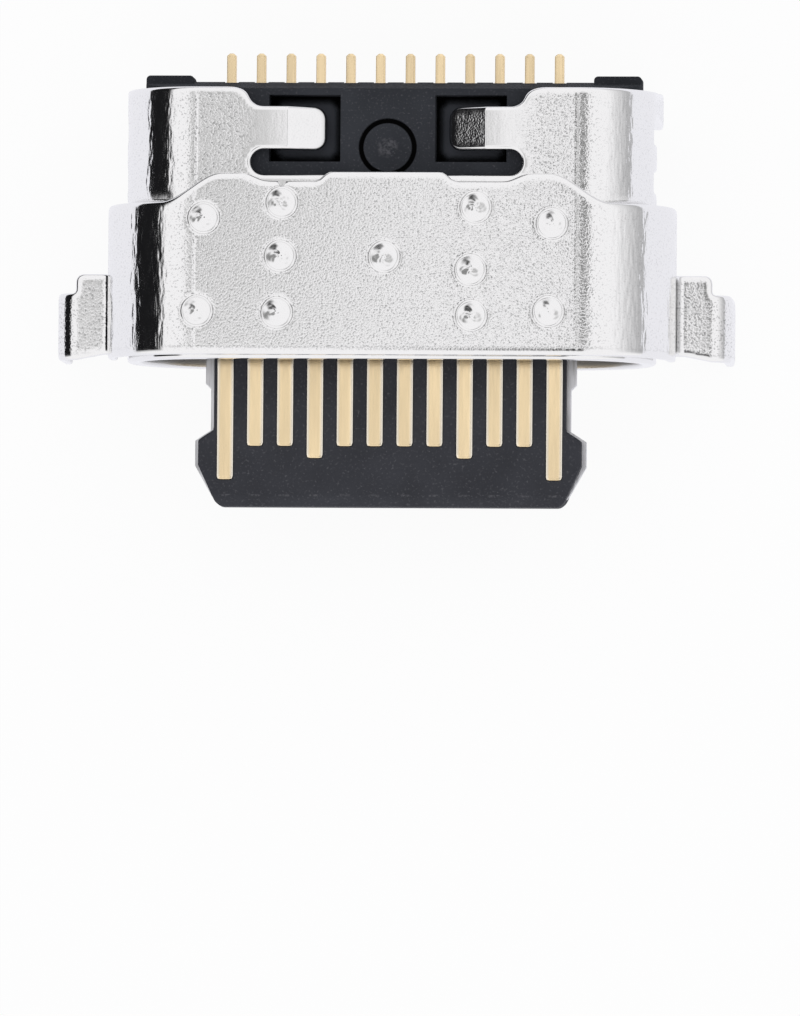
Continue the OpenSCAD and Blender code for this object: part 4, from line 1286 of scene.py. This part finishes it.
class PORT_OT_contacts(bpy.types.Operator):
    """Build the gilt contacts of both rows, with their solder tails"""

    bl_idname = "port.contacts"
    bl_label = "Contacts"

    def execute(self, context):
        size = in_millimetres(context.scene.port_tongue)
        gold = gilt(context.scene.port_finish, size.contact_width)
        for number in range(1, CONTACTS + 1):
            for row, shape in (("upper", upper_contact_shape), ("lower", lower_contact_shape)):
                node = f"{row}_contact_{number}"
                add_piece(f"gilt_{node}", shape(size, number), gold, "contact_gilt", node)
        return {"FINISHED"}


# Base


class PORT_OT_base(bpy.types.Operator):
    """Dress the moulded base, with its round gate mark"""

    bl_idname = "port.base"
    bl_label = "Base"

    def execute(self, context):
        finish = context.scene.port_finish
        marks = gate_marks(in_millimetres(context.scene.port_tongue))
        dress_node("housing", black_nylon("base_nylon", finish.black, finish.speck, finish.gloss, marks))
        return {"FINISHED"}


# Stage

# Shapes in the white studio, with leans from the zenith in degrees. A disc has its lean aside and ahead, the
# radius of its full part, the radius of its soft border and its grey. A flag has the leans where it starts,
# is full, is last full and ends, and its colour. Both flags fade over a range of the direction's Y.
STUDIO_WHITE = (0.97, 0.965, 0.98)
DISCS = ((-12, -9, 2, 9.5, 0.52), (10, -9, 5, 8, 0.25), (4.5, 10, 3, 9, 0.05))
FLAGS = ((-47, -54, -90, -96, (0.01, 0.01, 0.011)), (48, 84, 90, 98, (0.48, 0.48, 0.49)))
FLAG_FRONT = (-0.35, -0.15)


def studio_world(scene):
    """White studio, with the dark and grey shapes that bright sheet shows in its flats and bends.

    Two grey discs stand behind the zenith and a dark one ahead of it. A long black flag hangs low on the left
    and a grey one on the right. The camera itself sees white.
    """
    world = bpy.data.worlds.new("studio")
    scene.world = world
    world.use_nodes = True
    tree = world.node_tree
    toward = add_node(tree, "ShaderNodeTexCoord").outputs["Generated"]
    axis = axes(tree, toward)
    lean = reckon(tree, "ARCTAN2", axis["X"], axis["Z"])

    def flag(start, full, last, end):
        """Share of a flag between two leans, soft at its sides and its front end."""
        near = ramp(tree, lean, math.radians(start), math.radians(full))
        wide = times(tree, near, ramp(tree, lean, math.radians(end), math.radians(last)))
        return times(tree, wide, ramp(tree, axis["Y"], *FLAG_FRONT))

    def disc(aside, ahead, full, end):
        """Share of a disc about a direction, soft at its border."""
        middle = Vector((math.tan(math.radians(aside)), -math.tan(math.radians(ahead)), 1)).normalized()
        near = vectors(tree, "DOT_PRODUCT", toward, middle)["Value"]
        return ramp(tree, near, math.cos(math.radians(end)), math.cos(math.radians(full)))

    shade = opaque(STUDIO_WHITE)
    for *place, grey in DISCS:
        shade = mixed(tree, disc(*place), shade, (grey, grey, grey, 1))
    for *place, tone in FLAGS:
        shade = mixed(tree, flag(*place), shade, opaque(tone))
    camera = add_node(tree, "ShaderNodeLightPath").outputs["Is Camera Ray"]
    feed(tree, tree.nodes["Background"], {"Color": mixed(tree, camera, shade, (1, 1, 1, 1))})


def white_floor():
    """Pale floor that camera and reflections see nearly white, with the object's shadow kept faintly."""
    material, tree, shader = new_finish("pale_floor")
    tree.nodes.remove(shader)
    pale = mixed(tree, per_mm(tree, 0.4, 2, 0.5), (0.9, 0.9, 0.91, 1), (0.93, 0.93, 0.94, 1))
    soft = add_node(tree, "ShaderNodeBsdfDiffuse", inputs={"Color": pale}).outputs[0]
    path = add_node(tree, "ShaderNodeLightPath").outputs
    white = mixed(tree, path["Is Camera Ray"], (0.915, 0.915, 0.965, 1), (1, 1, 1, 1))
    glow = add_node(tree, "ShaderNodeEmission", inputs={"Color": white, "Strength": 1.0}).outputs[0]
    seen = reckon(tree, "ADD", path["Is Camera Ray"], path["Is Glossy Ray"])
    seen = reckon(tree, "ADD", seen, path["Is Transmission Ray"])
    glowing = between(tree, seen, 0, 0.93)
    blend = add_node(tree, "ShaderNodeMixShader", inputs={0: glowing, 1: soft, 2: glow}).outputs[0]
    feed(tree, tree.nodes["Material Output"], {"Surface": blend})
    return material


def add_floor(scene):
    """A wide square floor at the legs' lower ends."""
    reach, low = 4.0, CAD_BOX[0].z
    mesh = bpy.data.meshes.new("floor")
    mesh.from_pydata(SQUARE * reach + (0, 0, low), [], np.array([[0, 1, 2, 3]]))
    mesh.materials.append(white_floor())
    floor = bpy.data.objects.new("floor", mesh)
    scene.collection.objects.link(floor)


def add_camera(scene, stage):
    """A camera far above the part, tilted to the mouth and to +X, and turned about its own axis.

    The lens is the sensor's width times the distance, over the length that the picture's height shows.
    """
    tilt_x, tilt_y, roll = stage.tilt_side, stage.tilt_front, stage.roll
    right = Vector((math.cos(tilt_x), 0, -math.sin(tilt_x)))
    over = Vector((math.sin(tilt_x), 0, math.cos(tilt_x)))
    back = math.cos(tilt_y) * over - math.sin(tilt_y) * Vector((0, 1, 0))
    up = back.cross(right)
    across = math.cos(roll) * right + math.sin(roll) * up
    along = math.cos(roll) * up - math.sin(roll) * right
    aim = Vector(MOUTH * MM) + stage.aim_right * across + stage.aim_up * along
    turn = Matrix((across, along, back)).transposed().to_4x4()
    camera = bpy.data.cameras.new("camera")
    camera.sensor_width = 36.0
    camera.lens = camera.sensor_width * stage.distance / (PICTURE_HEIGHT * stage.pixel)
    camera.clip_start, camera.clip_end = 0.01, 20.0
    view = bpy.data.objects.new("camera", camera)
    scene.collection.objects.link(view)
    view.matrix_world = Matrix.Translation(aim + stage.distance * back) @ turn
    scene.camera = view


class PORT_OT_stage(bpy.types.Operator):
    """Set up the floor, the studio light and the camera"""

    bl_idname = "port.stage"
    bl_label = "Stage and camera"

    def execute(self, context):
        scene = context.scene
        scene.view_settings.view_transform = "Standard"
        studio_world(scene)
        add_floor(scene)
        add_camera(scene, scene.port_stage)
        return {"FINISHED"}


class VIEW3D_PT_charging_port(bpy.types.Panel):
    """Sidebar panel with the port's pieces and its sizes and colours"""

    bl_idname = "VIEW3D_PT_charging_port"
    bl_label = "Charging Port"
    bl_space_type = "VIEW_3D"
    bl_region_type = "UI"
    bl_category = "Charging Port"

    def draw(self, context):
        column = self.layout.column(align=True)
        for operator in OPERATORS:
            column.operator(operator.bl_idname)
        for attribute, group in GROUPS.items():
            box = self.layout.box()
            box.label(text=group.__doc__)
            for name in group.__annotations__:
                box.prop(getattr(context.scene, attribute), name)


GROUPS = {
    "port_shell": PortShellSizes,
    "port_cover": PortCoverSizes,
    "port_tongue": PortTongueSizes,
    "port_finish": PortFinish,
    "port_stage": PortStage,
}
OPERATORS = (PORT_OT_stage, PORT_OT_shell, PORT_OT_cover, PORT_OT_tongue, PORT_OT_contacts, PORT_OT_base)


def register():
    for attribute, group in GROUPS.items():
        bpy.utils.register_class(group)
        setattr(bpy.types.Scene, attribute, bpy.props.PointerProperty(type=group))
    for operator in OPERATORS:
        bpy.utils.register_class(operator)
    bpy.utils.register_class(VIEW3D_PT_charging_port)


def unregister():
    bpy.utils.unregister_class(VIEW3D_PT_charging_port)
    for operator in reversed(OPERATORS):
        bpy.utils.unregister_class(operator)
    for attribute, group in GROUPS.items():
        delattr(bpy.types.Scene, attribute)
        bpy.utils.unregister_class(group)


def main():
    register()
    bpy.ops.port.stage()
    bpy.ops.port.shell()
    bpy.ops.port.cover()
    bpy.ops.port.tongue()
    bpy.ops.port.contacts()
    bpy.ops.port.base()


if __name__ == "__main__":
    main()
